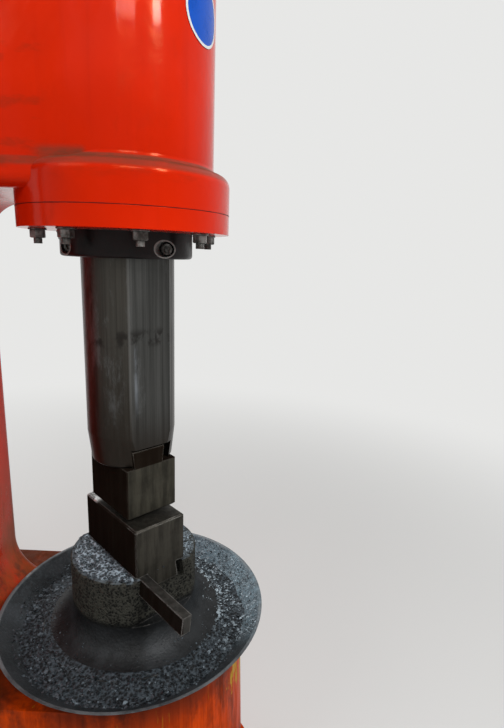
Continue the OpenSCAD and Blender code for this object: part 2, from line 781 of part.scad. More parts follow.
// Hand lever on the lower valve's spindle: tapered arm, round grip and a rear arm for the link
module control_lever() {
    w_tip = 0.6 * lever_arm_w;
    eye_d = 2 * link_d;
    color(dark_steel) translate([-valve_back, -lever_face_y, valve_low_z]) rotate([90, 0, 0]) {
        cylinder(h = lever_arm_t + 10, d = 2 * spindle_d, $fn = 48);
        rotate([0, 0, -lever_angle]) linear_extrude(lever_arm_t)
            polygon([[0, -lever_arm_w / 2], [lever_l, -w_tip / 2], [lever_l, w_tip / 2], [0, lever_arm_w / 2]]);
        rotate([0, 0, -lever_angle]) translate([lever_l - 5, 0, lever_arm_t / 2]) rotate([0, 90, 0]) {
            cylinder(h = grip_l, d1 = 0.8 * grip_d, d2 = grip_d, $fn = 32);
            translate([0, 0, grip_l]) sphere(d = grip_d, $fn = 32);
        }
        linear_extrude(lever_arm_t)
            polygon([[-rear_arm_l, -w_tip / 2], [0, -lever_arm_w / 2], [0, lever_arm_w / 2], [-rear_arm_l, w_tip / 2]]);
        translate([-rear_arm_l, 0, 0]) cylinder(h = lever_arm_t, d = eye_d, $fn = 48);
    }
}

// Rod slanting down from the lever's rear arm to a clamp on the treadle's bar
module link_rod() {
    eye_w = link_d + 10;
    clamp_w = treadle_bar_d + 20;
    low_y = -treadle_y;
    low_z = treadle_z + clamp_w / 2 - 4;
    high_y = -lever_face_y - lever_arm_t - eye_w / 2;
    lean = atan((high_y - low_y) / (valve_low_z - low_z));
    color(dark_steel) translate([-valve_back - rear_arm_l, 0, 0]) difference() {
        union() {
            translate([0, low_y, low_z]) rotate([-lean, 0, 0])
                cylinder(h = norm([high_y - low_y, valve_low_z - low_z]), d = link_d, $fn = 32);
            translate([0, high_y + eye_w / 2, valve_low_z]) rotate([90, 0, 0])
                cylinder(h = eye_w, d = 1.8 * link_d, $fn = 48);
            translate([-0.4 * clamp_w, low_y - clamp_w / 2, treadle_z - clamp_w / 2])
                cube([0.8 * clamp_w, clamp_w, clamp_w]);
        }
        translate([-clamp_w, low_y, treadle_z]) rotate([0, 90, 0])
            cylinder(h = 2 * clamp_w, d = treadle_bar_d + 0.4, $fn = 32);
    }
}

// Foot treadle: a bar along the lever's side, bent round the front of the base
module treadle() {
    eye_d = 2 * treadle_bar_d;
    sweep = 90 + treadle_end;
    color(dark_steel) translate([0, 0, treadle_z]) difference() {
        union() {
            rotate([0, 0, -90]) rotate_extrude(angle = sweep) translate([treadle_y, 0])
                circle(d = treadle_bar_d, $fn = 32);
            rotate([0, 0, -treadle_end]) translate([treadle_y - treadle_bar_d, -pedal_l / 2, treadle_bar_d / 2 - 5])
                cube([2 * treadle_bar_d, pedal_l, 9]);
            translate([0, -treadle_y, 0]) rotate([0, -90, 0])
                cylinder(h = treadle_back, d = treadle_bar_d, $fn = 32);
            translate([-treadle_back, treadle_bar_d / 2 - treadle_y, 0]) rotate([90, 0, 0])
                cylinder(h = treadle_bar_d, d = eye_d, $fn = 48);
        }
        translate([-treadle_back, treadle_bar_d - treadle_y, 0]) rotate([90, 0, 0])
            cylinder(h = 2 * treadle_bar_d, d = treadle_pin_d + 0.4, $fn = 48);
    }
}

// Fork bracket on the foot ledge with the treadle's pivot pin
module treadle_brackets() {
    gap = treadle_bar_d / 2 + 1;
    out_y = treadle_y + gap + cheek_t;
    in_y = base_r_low + foot_cove + 2;
    half_w = treadle_bar_d + 6;
    color(dark_steel) translate([-treadle_back, 0, 0]) union() {
        translate([-half_w, -out_y, foot_t]) cube([2 * half_w, out_y - in_y, cheek_t]);
        for (y = [-out_y, gap - treadle_y]) translate([0, y + cheek_t, 0]) rotate([90, 0, 0])
            linear_extrude(cheek_t) hull() {
                translate([0, treadle_z]) circle(d = 2 * treadle_pin_d, $fn = 48);
                translate([-half_w, foot_t]) square([2 * half_w, cheek_t]);
            }
        translate([0, gap - treadle_y + cheek_t + 6, treadle_z]) rotate([90, 0, 0])
            cylinder(h = 2 * (gap + cheek_t + 6), d = treadle_pin_d, $fn = 48);
    }
}

// Round crankcase door with a raised middle
module crank_door(side) {
    color(paint_red) translate([comp_x, side * door_y, crank_z]) rotate([-90 * side, 0, 0]) {
        cylinder(h = door_t, d = door_d);
        translate([0, 0, door_t - 1]) cylinder(h = 0.6 * door_t + 1, d1 = door_d - 80, d2 = door_d - 110);
    }
}
module crank_door_near() crank_door(-1);
module crank_door_far() crank_door(1);

module bearing_cap() {
    color(paint_red) translate([bearing_x, 0, crank_z]) rotate([0, -90, 0]) difference() {
        union() {
            cylinder(h = bearing_t * 0.5, d = bearing_d);
            translate([0, 0, bearing_t * 0.5 - 1]) cylinder(h = bearing_t * 0.5 + 1, d1 = bearing_d * 0.7, d2 = bearing_d * 0.6);
        }
        translate([0, 0, -1]) cylinder(h = bearing_t + 2, d = shaft_d + 1);
    }
}
module crankshaft() {
    color(bare_steel) translate([bearing_x, 0, crank_z]) rotate([0, -90, 0])
        cylinder(h = bearing_x - flywheel_x + 12, d = shaft_d);
}

// Cutters for the V grooves in a pulley's rim
module groove_cuts(d) {
    deep = belt_h + 1;
    for (i = [0 : belt_n - 1]) translate([0, 0, groove_pitch * (i + 0.75)]) rotate_extrude()
        polygon([[d / 2 + 1, -belt_w / 2], [d / 2 + 1, belt_w / 2], [d / 2 - deep, groove_low], [d / 2 - deep, -groove_low]]);
}
module flywheel() {
    r_in = flywheel_d / 2 - flywheel_rim;
    web_z = (flywheel_w - flywheel_web) / 2;
    color(dark_steel) translate([belt_plane_x, 0, crank_z]) rotate([0, -90, 0]) difference() {
        union() {
            difference() {
                cylinder(h = flywheel_w, d = flywheel_d);
                translate([0, 0, -1]) cylinder(h = flywheel_w + 2, r = r_in);
            }
            translate([0, 0, web_z]) cylinder(h = flywheel_web, r = r_in + 4);
            cylinder(h = flywheel_w, d = hub_d);
        }
        translate([0, 0, -1]) cylinder(h = flywheel_w + 2, d = shaft_d + 0.2);
        for (i = [0 : web_hole_n - 1]) rotate([0, 0, i * 360 / web_hole_n])
            translate([(r_in + hub_d / 2) / 2, 0, web_z - 1]) cylinder(h = flywheel_web + 2, d = web_hole_d, $fn = 48);
        groove_cuts(flywheel_d);
    }
}
module motor_pulley() {
    color(dark_steel) translate([belt_plane_x, 0, motor_z]) rotate([0, -90, 0]) difference() {
        cylinder(h = flywheel_w, d = pulley_d);
        groove_cuts(pulley_d);
        translate([0, 0, -1]) cylinder(h = flywheel_w / 4, d = pulley_d * 0.6, $fn = 48);
    }
}
// Outline of a loop round both pulleys, seen along the shafts, wrapping the large one more than half way
module belt_loop(r_big, r_small, c) {
    a = asin((r_big - r_small) / c);
    big_step = (180 + 2 * a) / 36;
    small_step = (180 - 2 * a) / 16;
    polygon(concat(
        [for (i = [0 : 36]) [r_big * cos(i * big_step - a), r_big * sin(i * big_step - a)]],
        [for (i = [0 : 16]) [r_small * cos(180 + a + i * small_step), r_small * sin(180 + a + i * small_step) - c]]));
}
module belt_ring(grow_out, grow_in, l) {
    c = crank_z - motor_z;
    r_big = flywheel_d / 2;
    r_small = pulley_d / 2;
    linear_extrude(l) difference() {
        belt_loop(r_big + grow_out, r_small + grow_out, c);
        belt_loop(r_big + grow_in, r_small + grow_in, c);
    }
}
// V-belts joined by a band over the rims
module belts() {
    rib_w = 2 * (groove_low - belt_play);
    over = 1 + 2 * belt_play;
    band_w = groove_pitch * (belt_n - 1) + belt_w;
    color(rubber_black) translate([belt_plane_x, 0, crank_z]) rotate([90, 0, -90]) union() {
        translate([0, 0, groove_pitch * 0.75 - belt_w / 2]) belt_ring(over + belt_band, over, band_w);
        for (i = [0 : belt_n - 1]) translate([0, 0, groove_pitch * (i + 0.75) - rib_w / 2])
            belt_ring(over + 1, -belt_h, rib_w);
    }
}

// Ribbed section of the motor's body
module fin_section() {
    step = 360 / fin_n;
    r_out = motor_d / 2 - 3;
    r_in = r_out - fin_h;
    polygon([for (i = [0 : fin_n - 1], p = [[r_in, 0], [r_out, 0.1], [r_out, 0.4], [r_in, 0.5]])
        [p[0] * cos((i + p[1]) * step), p[0] * sin((i + p[1]) * step)]]);
}
module motor() {
    foot_w = motor_d * 0.95;
    foot_h = motor_axis_h / 4;
    foot_l = motor_l - 2 * shield_l;
    mid_x = motor_x - motor_l / 2;
    color(motor_grey) translate([0, 0, motor_z]) {
        translate([motor_x, 0, 0]) rotate([0, -90, 0]) {
            cylinder(h = shield_l, d = motor_d);
            translate([0, 0, shield_l - 1]) linear_extrude(motor_l - 2 * shield_l + 2) fin_section();
            translate([0, 0, motor_l - shield_l]) cylinder(h = shield_l, d = motor_d);
            translate([0, 0, motor_l - 1]) cylinder(h = cowl_l - 15, d = motor_d - 16);
            translate([0, 0, motor_l + cowl_l - 16]) cylinder(h = 16, d1 = motor_d - 16, d2 = motor_d - 50);
            translate([0, 0, -14]) cylinder(h = 15, d = motor_d * 0.45);
        }
        for (s = [-1, 1]) scale([1, s, 1]) translate([mid_x + foot_l / 2, 0, 0]) rotate([90, 0, -90]) linear_extrude(foot_l)
            polygon([[foot_w / 2, -motor_axis_h], [foot_w / 2, foot_h / 2 - motor_axis_h],
                [foot_w / 2 - foot_h, foot_h - motor_axis_h], [foot_w / 2 - 0.75 * foot_h, -foot_h],
                [foot_h / 2, -foot_h], [foot_h / 2, foot_h - motor_axis_h], [foot_w / 2 - 1.9 * foot_h, -motor_axis_h]]);
        translate([mid_x - term_l / 2 + 5, 5 - term_w / 2, 0]) cube([term_l - 10, term_w - 10, motor_d / 2 + 8]);
        translate([flywheel_x, 0, 0]) rotate([0, -90, 0]) cylinder(h = pulley_gap + 1, d = motor_shaft_d, $fn = 48);
    }
}
// Terminal box with lid and cord gland
module terminal_box() {
    lid_t = 12;
    color(motor_grey) translate([motor_x - motor_l / 2, 0, motor_z + motor_d / 2 + 8]) {
        translate([-term_l / 2, -term_w / 2, 0]) cube([term_l, term_w, term_h - lid_t]);
        translate([-term_l / 2 - 3, -term_w / 2 - 3, term_h - lid_t]) cube([term_l + 6, term_w + 6, lid_t]);
        translate([0, 1 - term_w / 2, (term_h - lid_t) / 2]) rotate([90, 0, 0]) {
            cylinder(h = 15, d = 44, $fn = 6);
            cylinder(h = 31, d = 32, $fn = 32);
        }
    }
}
module motor_rails() {
    groove = 14;
    color(dark_steel) for (x = [motor_x - rail_inset - rail_w, motor_x - motor_l + rail_inset]) difference() {
        translate([x, -rail_l / 2, rear_deck_h]) cube([rail_w, rail_l, rail_h]);
        translate([x + (rail_w - groove) / 2, -rail_l / 2 - 1, rear_deck_h + rail_h - groove])
            cube([groove, rail_l + 2, groove + 1]);
    }
}

// Belt guard: drop-shaped sheet box round both pulleys on a stand, open to the column
module belt_guard() {
    c = crank_z - motor_z;
    r_big = flywheel_d / 2 + guard_room;
    r_small = pulley_d / 2 + guard_room;
    low = motor_z - r_small - guard_t;
    stand_w = 1.6 * r_small;
    plate_t = 10;
    color(paint_red) translate([belt_plane_x + 22, 0, 0]) union() {
        translate([0, 0, crank_z]) rotate([90, 0, -90]) difference() {
            linear_extrude(guard_depth) belt_loop(r_big + guard_t, r_small + guard_t, c);
            translate([0, 0, -1]) linear_extrude(guard_depth - guard_t + 1) belt_loop(r_big, r_small, c);
            translate([0, -c, 0]) cylinder(h = guard_depth + 1, d = motor_shaft_d + 50, $fn = 48);
        }
        translate([-guard_depth, -stand_w / 2, rear_deck_h]) cube([guard_depth, stand_w, plate_t]);
        for (x = [-guard_depth, -plate_t]) translate([x, 0, 0]) rotate([90, 0, 90]) linear_extrude(plate_t)
            polygon([[-stand_w / 2, rear_deck_h], [stand_w / 2, rear_deck_h], [stand_w / 4, low + 8], [-stand_w / 4, low + 8]]);
    }
}

// Lifting eyes between the heads and behind the compressor's head
module lifting_eyes() {
    comp_front = comp_x + comp_head_d / 2;
    comp_back = comp_x - comp_head_d / 2;
    collar_h = eye_h - eye_r - eye_t / 2 + 6;
    color(black_steel) for (x = [(comp_front - tail_l) / 2, (comp_back + col_rear) / 2]) translate([x, 0, frame_top]) {
        cylinder(h = collar_h / 2, d = 3 * eye_t, $fn = 48);
        cylinder(h = collar_h, d = 1.5 * eye_t, $fn = 48);
        translate([0, 0, eye_h]) rotate([90, 0, 0]) rotate_extrude($fn = 64) translate([eye_r, 0]) circle(d = eye_t, $fn = 24);
    }
}

base();
anvil();
scale_tray();
lower_die();
lower_key();
lower_packing();
ram();
upper_die();
upper_key();
gland_near();
gland_far();
gland_screws();
ram_guide();
guide_studs();
work_cylinder();
cylinder_head();
frame();
compressor_head();
upper_valve_near();
lower_valve_near();
upper_valve_far();
lower_valve_far();
control_lever();
link_rod();
treadle();
treadle_brackets();
crank_door_near();
crank_door_far();
bearing_cap();
crankshaft();
flywheel();
belts();
motor_pulley();
motor();
terminal_box();
motor_rails();
belt_guard();
lifting_eyes();
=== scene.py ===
import math
import random
import bmesh
import bpy
from mathutils import Matrix, Vector, noise


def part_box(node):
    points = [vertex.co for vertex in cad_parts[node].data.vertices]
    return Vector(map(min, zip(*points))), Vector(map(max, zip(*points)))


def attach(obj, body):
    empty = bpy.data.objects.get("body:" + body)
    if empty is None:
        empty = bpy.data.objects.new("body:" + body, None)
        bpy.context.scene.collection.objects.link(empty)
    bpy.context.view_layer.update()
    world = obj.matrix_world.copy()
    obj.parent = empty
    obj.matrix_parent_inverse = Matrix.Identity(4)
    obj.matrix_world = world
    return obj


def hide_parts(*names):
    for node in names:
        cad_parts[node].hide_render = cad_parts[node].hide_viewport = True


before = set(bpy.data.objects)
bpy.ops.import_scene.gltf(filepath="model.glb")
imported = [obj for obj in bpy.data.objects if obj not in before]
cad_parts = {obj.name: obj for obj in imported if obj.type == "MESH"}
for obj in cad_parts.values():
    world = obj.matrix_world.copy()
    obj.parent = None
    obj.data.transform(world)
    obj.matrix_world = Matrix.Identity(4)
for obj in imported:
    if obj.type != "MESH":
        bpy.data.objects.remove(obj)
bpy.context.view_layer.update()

# Camera
CAMERA_AT = Vector((0.269, -0.976, 1.410))
CAMERA_PITCH = math.radians(12.88)
CAMERA_ROLL = math.radians(2.0)
CAMERA_TURN = math.radians(1.0)
CAMERA_FOCAL_PX = 485.4
IMAGE_WIDTH_PX = 504
SENSOR_MM = 36.0

# Dies and ram, in metres and radians
DIE_TURN = math.radians(45)
DIE_HALF = (0.060, 0.110)
LOWER_DIE_TOP = 0.860
UPPER_DIE_TOP = 0.980
RAM_FLAT = 0.079

# Work cylinder, the studs under its guide ring, and the bores for the gland's screws: distance from the
# middle, height and radius
BARREL_R = 0.1655
FLANGE_R = 0.197
SHOULDER_Z = 1.545
STUD_CIRCLE_R = 0.162
STUD_R = 0.008
STUD_COUNT = 8
STUD_OUT = 0.010
SOCKETS = (0.090, 1.411, 0.014)

# Plate on the barrel: its direction seen from above, its middle's height and its radius
SIGN_TURN = math.radians(-22)
SIGN_Z = 1.794
SIGN_R = 0.049

# Anvil with its cove and ledge, and the tray round it
ANVIL_R = 0.1365
ANVIL_FLAT = 0.114
LEDGE_R = 0.201
LEDGE_Z = 0.589
ANVIL_TOP = LEDGE_Z + 0.166
COVE_TOP = LEDGE_Z + LEDGE_R - ANVIL_R
TRAY_FLOOR_R = 0.235
TRAY_FLOOR_Z = 0.5655
TRAY_SLOPE = 0.932
TRAY_RIM_Z = 0.615

# Loose scale: radius of its bank, where the bank's slope ends, how far its edge wanders, how far the layer on
# the anvil stays off the flats, and the numbers of flakes
BANK_R = 0.264
BANK_END_R = 0.272
BANK_SPREAD = 0.012
SCALE_INSET = 0.003
BANK_FLAKES = 4200
COVE_FLAKES = 500
SLOPE_FLAKES = 1300
ANVIL_FLAKES = 1100

# Crankshaft's height, and the heads: height of the bolted flange and radius of each circle of bolts
CRANK_Z = 1.080
HEAD_FLANGE_T = 0.034
HEAD_CIRCLES = {"cylinder_head": 0.172, "compressor_head": 0.180}

# Radius of each kind of cover and how far its middle stands out of its bolted rim
VALVE_R, VALVE_PROUD = 0.085, 0.020
DOOR_R, DOOR_PROUD = 0.2, 0.0144
BEARING_R, BEARING_PROUD = 0.14, 0.0225

# Bolts of the motor's feet, whose height over the rails is FOOT_T, and of the rails' own lower ends
FOOT_BOLT_Y, FOOT_T = 0.118, 0.022
RAIL_BOLT_Y, RAIL_END_DROP = 0.175, 0.003

# Where marks on the looks fade in or out, by height or by place along an axis
COAT_Z = (1.62, 1.72)
DUST_Z = (0.85, 1.10)
FOOT_RUST_Z = (0.62, 1.00)
FOOT_STREAKS_Z = (0.70, 1.15)
UNDER_TRAY_SHADE_Z = (0.46, 0.56)
SMEAR_Z = (0.30, 0.52)
SMEAR_X = (0.262, 0.300)
BASE_RUST_X = (-0.25, -0.12)
RAM_STAIN_Z = (1.222, 1.236, 1.250, 1.268)
# Painted highlights on the ram: a bright streak beside the flats' edge, then the heights of a bright line along that
# edge
RAM_HIGHLIGHT_ACROSS = (-0.0395, -0.0345, -0.0345, -0.0270)
RAM_HIGHLIGHT_Z = (1.075, 1.160, 1.215, 1.240)
RAM_EDGE_HIGHLIGHT_Z = (1.02, 1.16)
BRUISE_ALONG = (0.050, 0.074)

# Enamel of the frame and the work cylinder, and its darker shade
RED = (0.70, 0.018, 0.001)
RED_DARK = (0.46, 0.009, 0.001)

UP = (0, 0, 1)
DOWN = (0, 0, -1)

# Backdrop: its colour, how much of it lights the machine, and how far from the machine's middle,
# which is 0.6 m behind the ram, the floor runs out into it
PALE = (0.80, 0.80, 0.79, 1)
LIGHT_LEVEL = 0.36
FLOOR_SIZE = 40.0
FLOOR_MIDDLE = 0.6
FLOOR_FADE = (1.1, 4.2)


def link(obj):
    bpy.context.scene.collection.objects.link(obj)
    return obj


def add_camera():
    """Camera solved from the round parts' ellipses: pitched down, rolled and turned a little."""
    data = bpy.data.cameras.new("camera")
    data.sensor_fit = 'HORIZONTAL'
    data.sensor_width = SENSOR_MM
    data.lens = CAMERA_FOCAL_PX * data.sensor_width / IMAGE_WIDTH_PX
    data.clip_start = 0.02
    level_forward = Vector((-math.sin(CAMERA_TURN), math.cos(CAMERA_TURN), 0))
    level_right = Vector((math.cos(CAMERA_TURN), math.sin(CAMERA_TURN), 0))
    up_z = Vector(UP)
    forward = level_forward * math.cos(CAMERA_PITCH) - up_z * math.sin(CAMERA_PITCH)
    level_up = level_forward * math.sin(CAMERA_PITCH) + up_z * math.cos(CAMERA_PITCH)
    right = level_right * math.cos(CAMERA_ROLL) + level_up * math.sin(CAMERA_ROLL)
    up = level_up * math.cos(CAMERA_ROLL) - level_right * math.sin(CAMERA_ROLL)
    turn = Matrix((right, up, -forward)).transposed()
    camera = link(bpy.data.objects.new("camera", data))
    camera.matrix_world = Matrix.Translation(CAMERA_AT) @ turn.to_4x4()
    bpy.context.scene.camera = camera


def add_lamp(name, at, aim, energy, width, height):
    """Rectangular area lamp that points from one place at another."""
    data = bpy.data.lights.new(name, 'AREA')
    data.shape = 'RECTANGLE'
    data.energy = energy
    data.size = width
    data.size_y = height
    lamp = link(bpy.data.objects.new(name, data))
    lamp.location = at
    lamp.rotation_euler = (Vector(aim) - Vector(at)).to_track_quat('-Z', 'Y').to_euler()


def add_studio():
    """Four lamps, and a pale backdrop that lights the machine less than it shows to the camera."""
    world = bpy.data.worlds.new("world")
    bpy.context.scene.world = world
    world.use_nodes = True
    tree = world.node_tree
    shade = tree.nodes["Background"]
    shade.inputs["Color"].default_value = PALE
    path = tree.nodes.new("ShaderNodeLightPath")
    seen = path.outputs["Is Camera Ray"]
    for ray in ("Is Transmission Ray", "Is Glossy Ray"):
        either = tree.nodes.new("ShaderNodeMath")
        either.operation = 'MAXIMUM'
        tree.links.new(seen, either.inputs[0])
        tree.links.new(path.outputs[ray], either.inputs[1])
        seen = either.outputs[0]
    level = tree.nodes.new("ShaderNodeMapRange")
    level.inputs["To Min"].default_value = LIGHT_LEVEL
    level.inputs["To Max"].default_value = 1.0
    tree.links.new(seen, level.inputs["Value"])
    tree.links.new(level.outputs["Result"], shade.inputs["Strength"])

    add_lamp("key", at=(2.2, -1.65, 3.3), aim=(0, 0, 1.2), energy=62, width=0.5, height=1.0)
    add_lamp("front", at=(0.9, -2.7, 3.3), aim=(0, 0, 1.2), energy=34, width=1.1, height=0.9)
    add_lamp("fill", at=(-2.4, -2.6, 3.6), aim=(-0.5, 0, 1.0), energy=22, width=2.0, height=1.4)
    add_lamp("rear", at=(-2.8, 2.4, 3.2), aim=(-0.8, 0, 1.0), energy=70, width=2.0, height=1.6)
    add_floor()


def add_floor():
    """Pale floor that takes the machine's shadow and runs out into the backdrop's colour."""
    bm = bmesh.new()
    bmesh.ops.create_grid(bm, x_segments=1, y_segments=1, size=FLOOR_SIZE)
    mesh = bpy.data.meshes.new("floor")
    bm.to_mesh(mesh)
    floor = link(bpy.data.objects.new("floor", mesh))
    look = Look("floor_pale", Base_Color=(0.78, 0.78, 0.77, 1), Roughness=0.9, Specular_IOR_Level=0.1)
    far = look.length(look.plus(look.axis("X"), FLOOR_MIDDLE), look.axis("Y"))
    path = look.node("ShaderNodeLightPath").outputs
    seen = look.most(path["Is Camera Ray"], look.most(path["Is Glossy Ray"], path["Is Transmission Ray"]))
    fade = look.times(seen, look.range(far, *FLOOR_FADE))
    glow = look.node("ShaderNodeEmission", {"Color": PALE, "Strength": 1.0})
    blend = look.node("ShaderNodeMixShader", {0: fade, 1: look.shader.outputs[0], 2: glow.outputs[0]})
    look.tree.links.new(blend.outputs[0], look.tree.nodes["Material Output"].inputs[0])
    mesh.materials.append(look.material)


class Look:
    """A procedural material: small helpers round one Principled shader."""

    def __init__(self, name, **sockets):
        self.material = bpy.data.materials.new(name)
        self.material.use_nodes = True
        self.tree = self.material.node_tree
        self.shader = self.tree.nodes["Principled BSDF"]
        for socket, value in sockets.items():
            self.shader.inputs[socket.replace("_", " ")].default_value = value
        where = self.tree.nodes.new("ShaderNodeTexCoord")
        self.place = where.outputs["Object"]

    def node(self, kind, values=(), **settings):
        """New node; each of its values is a number to set or a socket to link."""
        made = self.tree.nodes.new(kind)
        for key, value in settings.items():
            setattr(made, key, value)
        for slot, value in dict(values).items():
            if isinstance(value, bpy.types.NodeSocket):
                self.tree.links.new(value, made.inputs[slot])
            else:
                made.inputs[slot].default_value = value
        return made

    def spots(self, scale, detail=4.0, rough=0.6, stretch=(1, 1, 1), shift=0.0):
        """Cloudy noise; stretch below 1 draws it out along that axis, shift takes another part of it."""
        spread = self.node("ShaderNodeMapping", {"Vector": self.place, "Scale": stretch,
            "Location": (shift, shift * 0.7, shift * 1.3)})
        return self.node("ShaderNodeTexNoise", {"Vector": spread.outputs[0], "Scale": scale, "Detail": detail,
            "Roughness": rough}).outputs["Fac"]

    def cells(self, scale):
        return self.node("ShaderNodeTexVoronoi", {"Vector": self.place, "Scale": scale}).outputs["Distance"]

    def blotch(self, scale, detail, rough, low, high, least=0.0, stretch=(1, 1, 1), shift=0.0):
        """Cloudy noise as a mask, from least where it is under low to 1 where it is over high."""
        return self.range(self.spots(scale, detail, rough, stretch, shift), low, high, least, 1.0)

    def range(self, value, low, high, to_low=0.0, to_high=1.0):
        return self.node("ShaderNodeMapRange", {"Value": value, "From Min": low, "From Max": high,
            "To Min": to_low, "To Max": to_high}, interpolation_type='SMOOTHSTEP').outputs[0]

    def fall(self, value, low, high):
        """1 up to low, running out to 0 at high."""
        return self.range(value, low, high, 1.0, 0.0)

    def band(self, value, low, full, full_to, high):
        """1 from full to full_to, running out to 0 at low and at high."""
        return self.times(self.range(value, low, full), self.fall(value, full_to, high))

    def maths(self, how, a, b=0.0):
        return self.node("ShaderNodeMath", {0: a, 1: b}, operation=how).outputs[0]

    def times(self, a, b):
        return self.maths('MULTIPLY', a, b)

    def plus(self, a, b):
        return self.maths('ADD', a, b)

    def minus(self, a, b):
        return self.maths('SUBTRACT', a, b)

    def most(self, a, b):
        return self.maths('MAXIMUM', a, b)

    def size(self, value):
        return self.maths('ABSOLUTE', value)

    def length(self, a, b):
        return self.maths('SQRT', self.plus(self.times(a, a), self.times(b, b)))

    def mix(self, share, a, b):
        """Colour a with a share of colour b over it; the node's colour inputs are its sockets 6 and 7."""
        made = self.node("ShaderNodeMix", data_type='RGBA')
        for index, value in ((0, share), (6, a), (7, b)):
            if isinstance(value, bpy.types.NodeSocket):
                self.tree.links.new(value, made.inputs[index])
            elif index == 0:
                made.inputs[index].default_value = value
            else:
                made.inputs[index].default_value = (*value, 1)
        return made.outputs[2]

    def axis(self, name):
        return self.node("ShaderNodeSeparateXYZ", {0: self.place}).outputs[name]

    def facing_up(self):
        """Up-down part of the surface's direction: 1 on level tops, 0 on walls."""
        normal = self.node("ShaderNodeNewGeometry").outputs["Normal"]
        return self.node("ShaderNodeSeparateXYZ", {0: normal}).outputs["Z"]

    def far_side(self):
        """Grows towards the tray's side that is away from the lever."""
        return self.plus(self.times(self.axis("X"), 0.6), self.axis("Y"))

    def die_axis(self, across):
        """Place along the dies' own axes: across the dovetail or along it."""
        x, y = self.axis("X"), self.axis("Y")
        c, s = math.cos(DIE_TURN), math.sin(DIE_TURN)
        if across:
            return self.plus(self.times(x, c), self.times(y, s))
        return self.minus(self.times(y, c), self.times(x, s))

    def radius(self):
        return self.length(self.axis("X"), self.axis("Y"))

    def edges(self, reach):
        """Where the surface turns over an edge within reach, from 0 to 1."""
        round_normal = self.node("ShaderNodeBevel", {"Radius": reach}, samples=6).outputs[0]
        flat = self.node("ShaderNodeNewGeometry").outputs["Normal"]
        same = self.node("ShaderNodeVectorMath", {0: round_normal, 1: flat}, operation='DOT_PRODUCT')
        return self.range(same.outputs["Value"], 0.86, 0.99, 1.0, 0.0)

    def feed(self, socket, value):
        self.tree.links.new(value, self.shader.inputs[socket])

    def bump(self, height, strength, distance, soft=0.0):
        """Relief of this height; soft is the radius that edges are rounded by."""
        made = self.node("ShaderNodeBump", {"Strength": strength, "Distance": distance, "Height": height})
        if soft:
            bevel = self.node("ShaderNodeBevel", {"Radius": soft}, samples=4)
            self.tree.links.new(bevel.outputs[0], made.inputs["Normal"])
        self.tree.links.new(made.outputs[0], self.shader.inputs["Normal"])


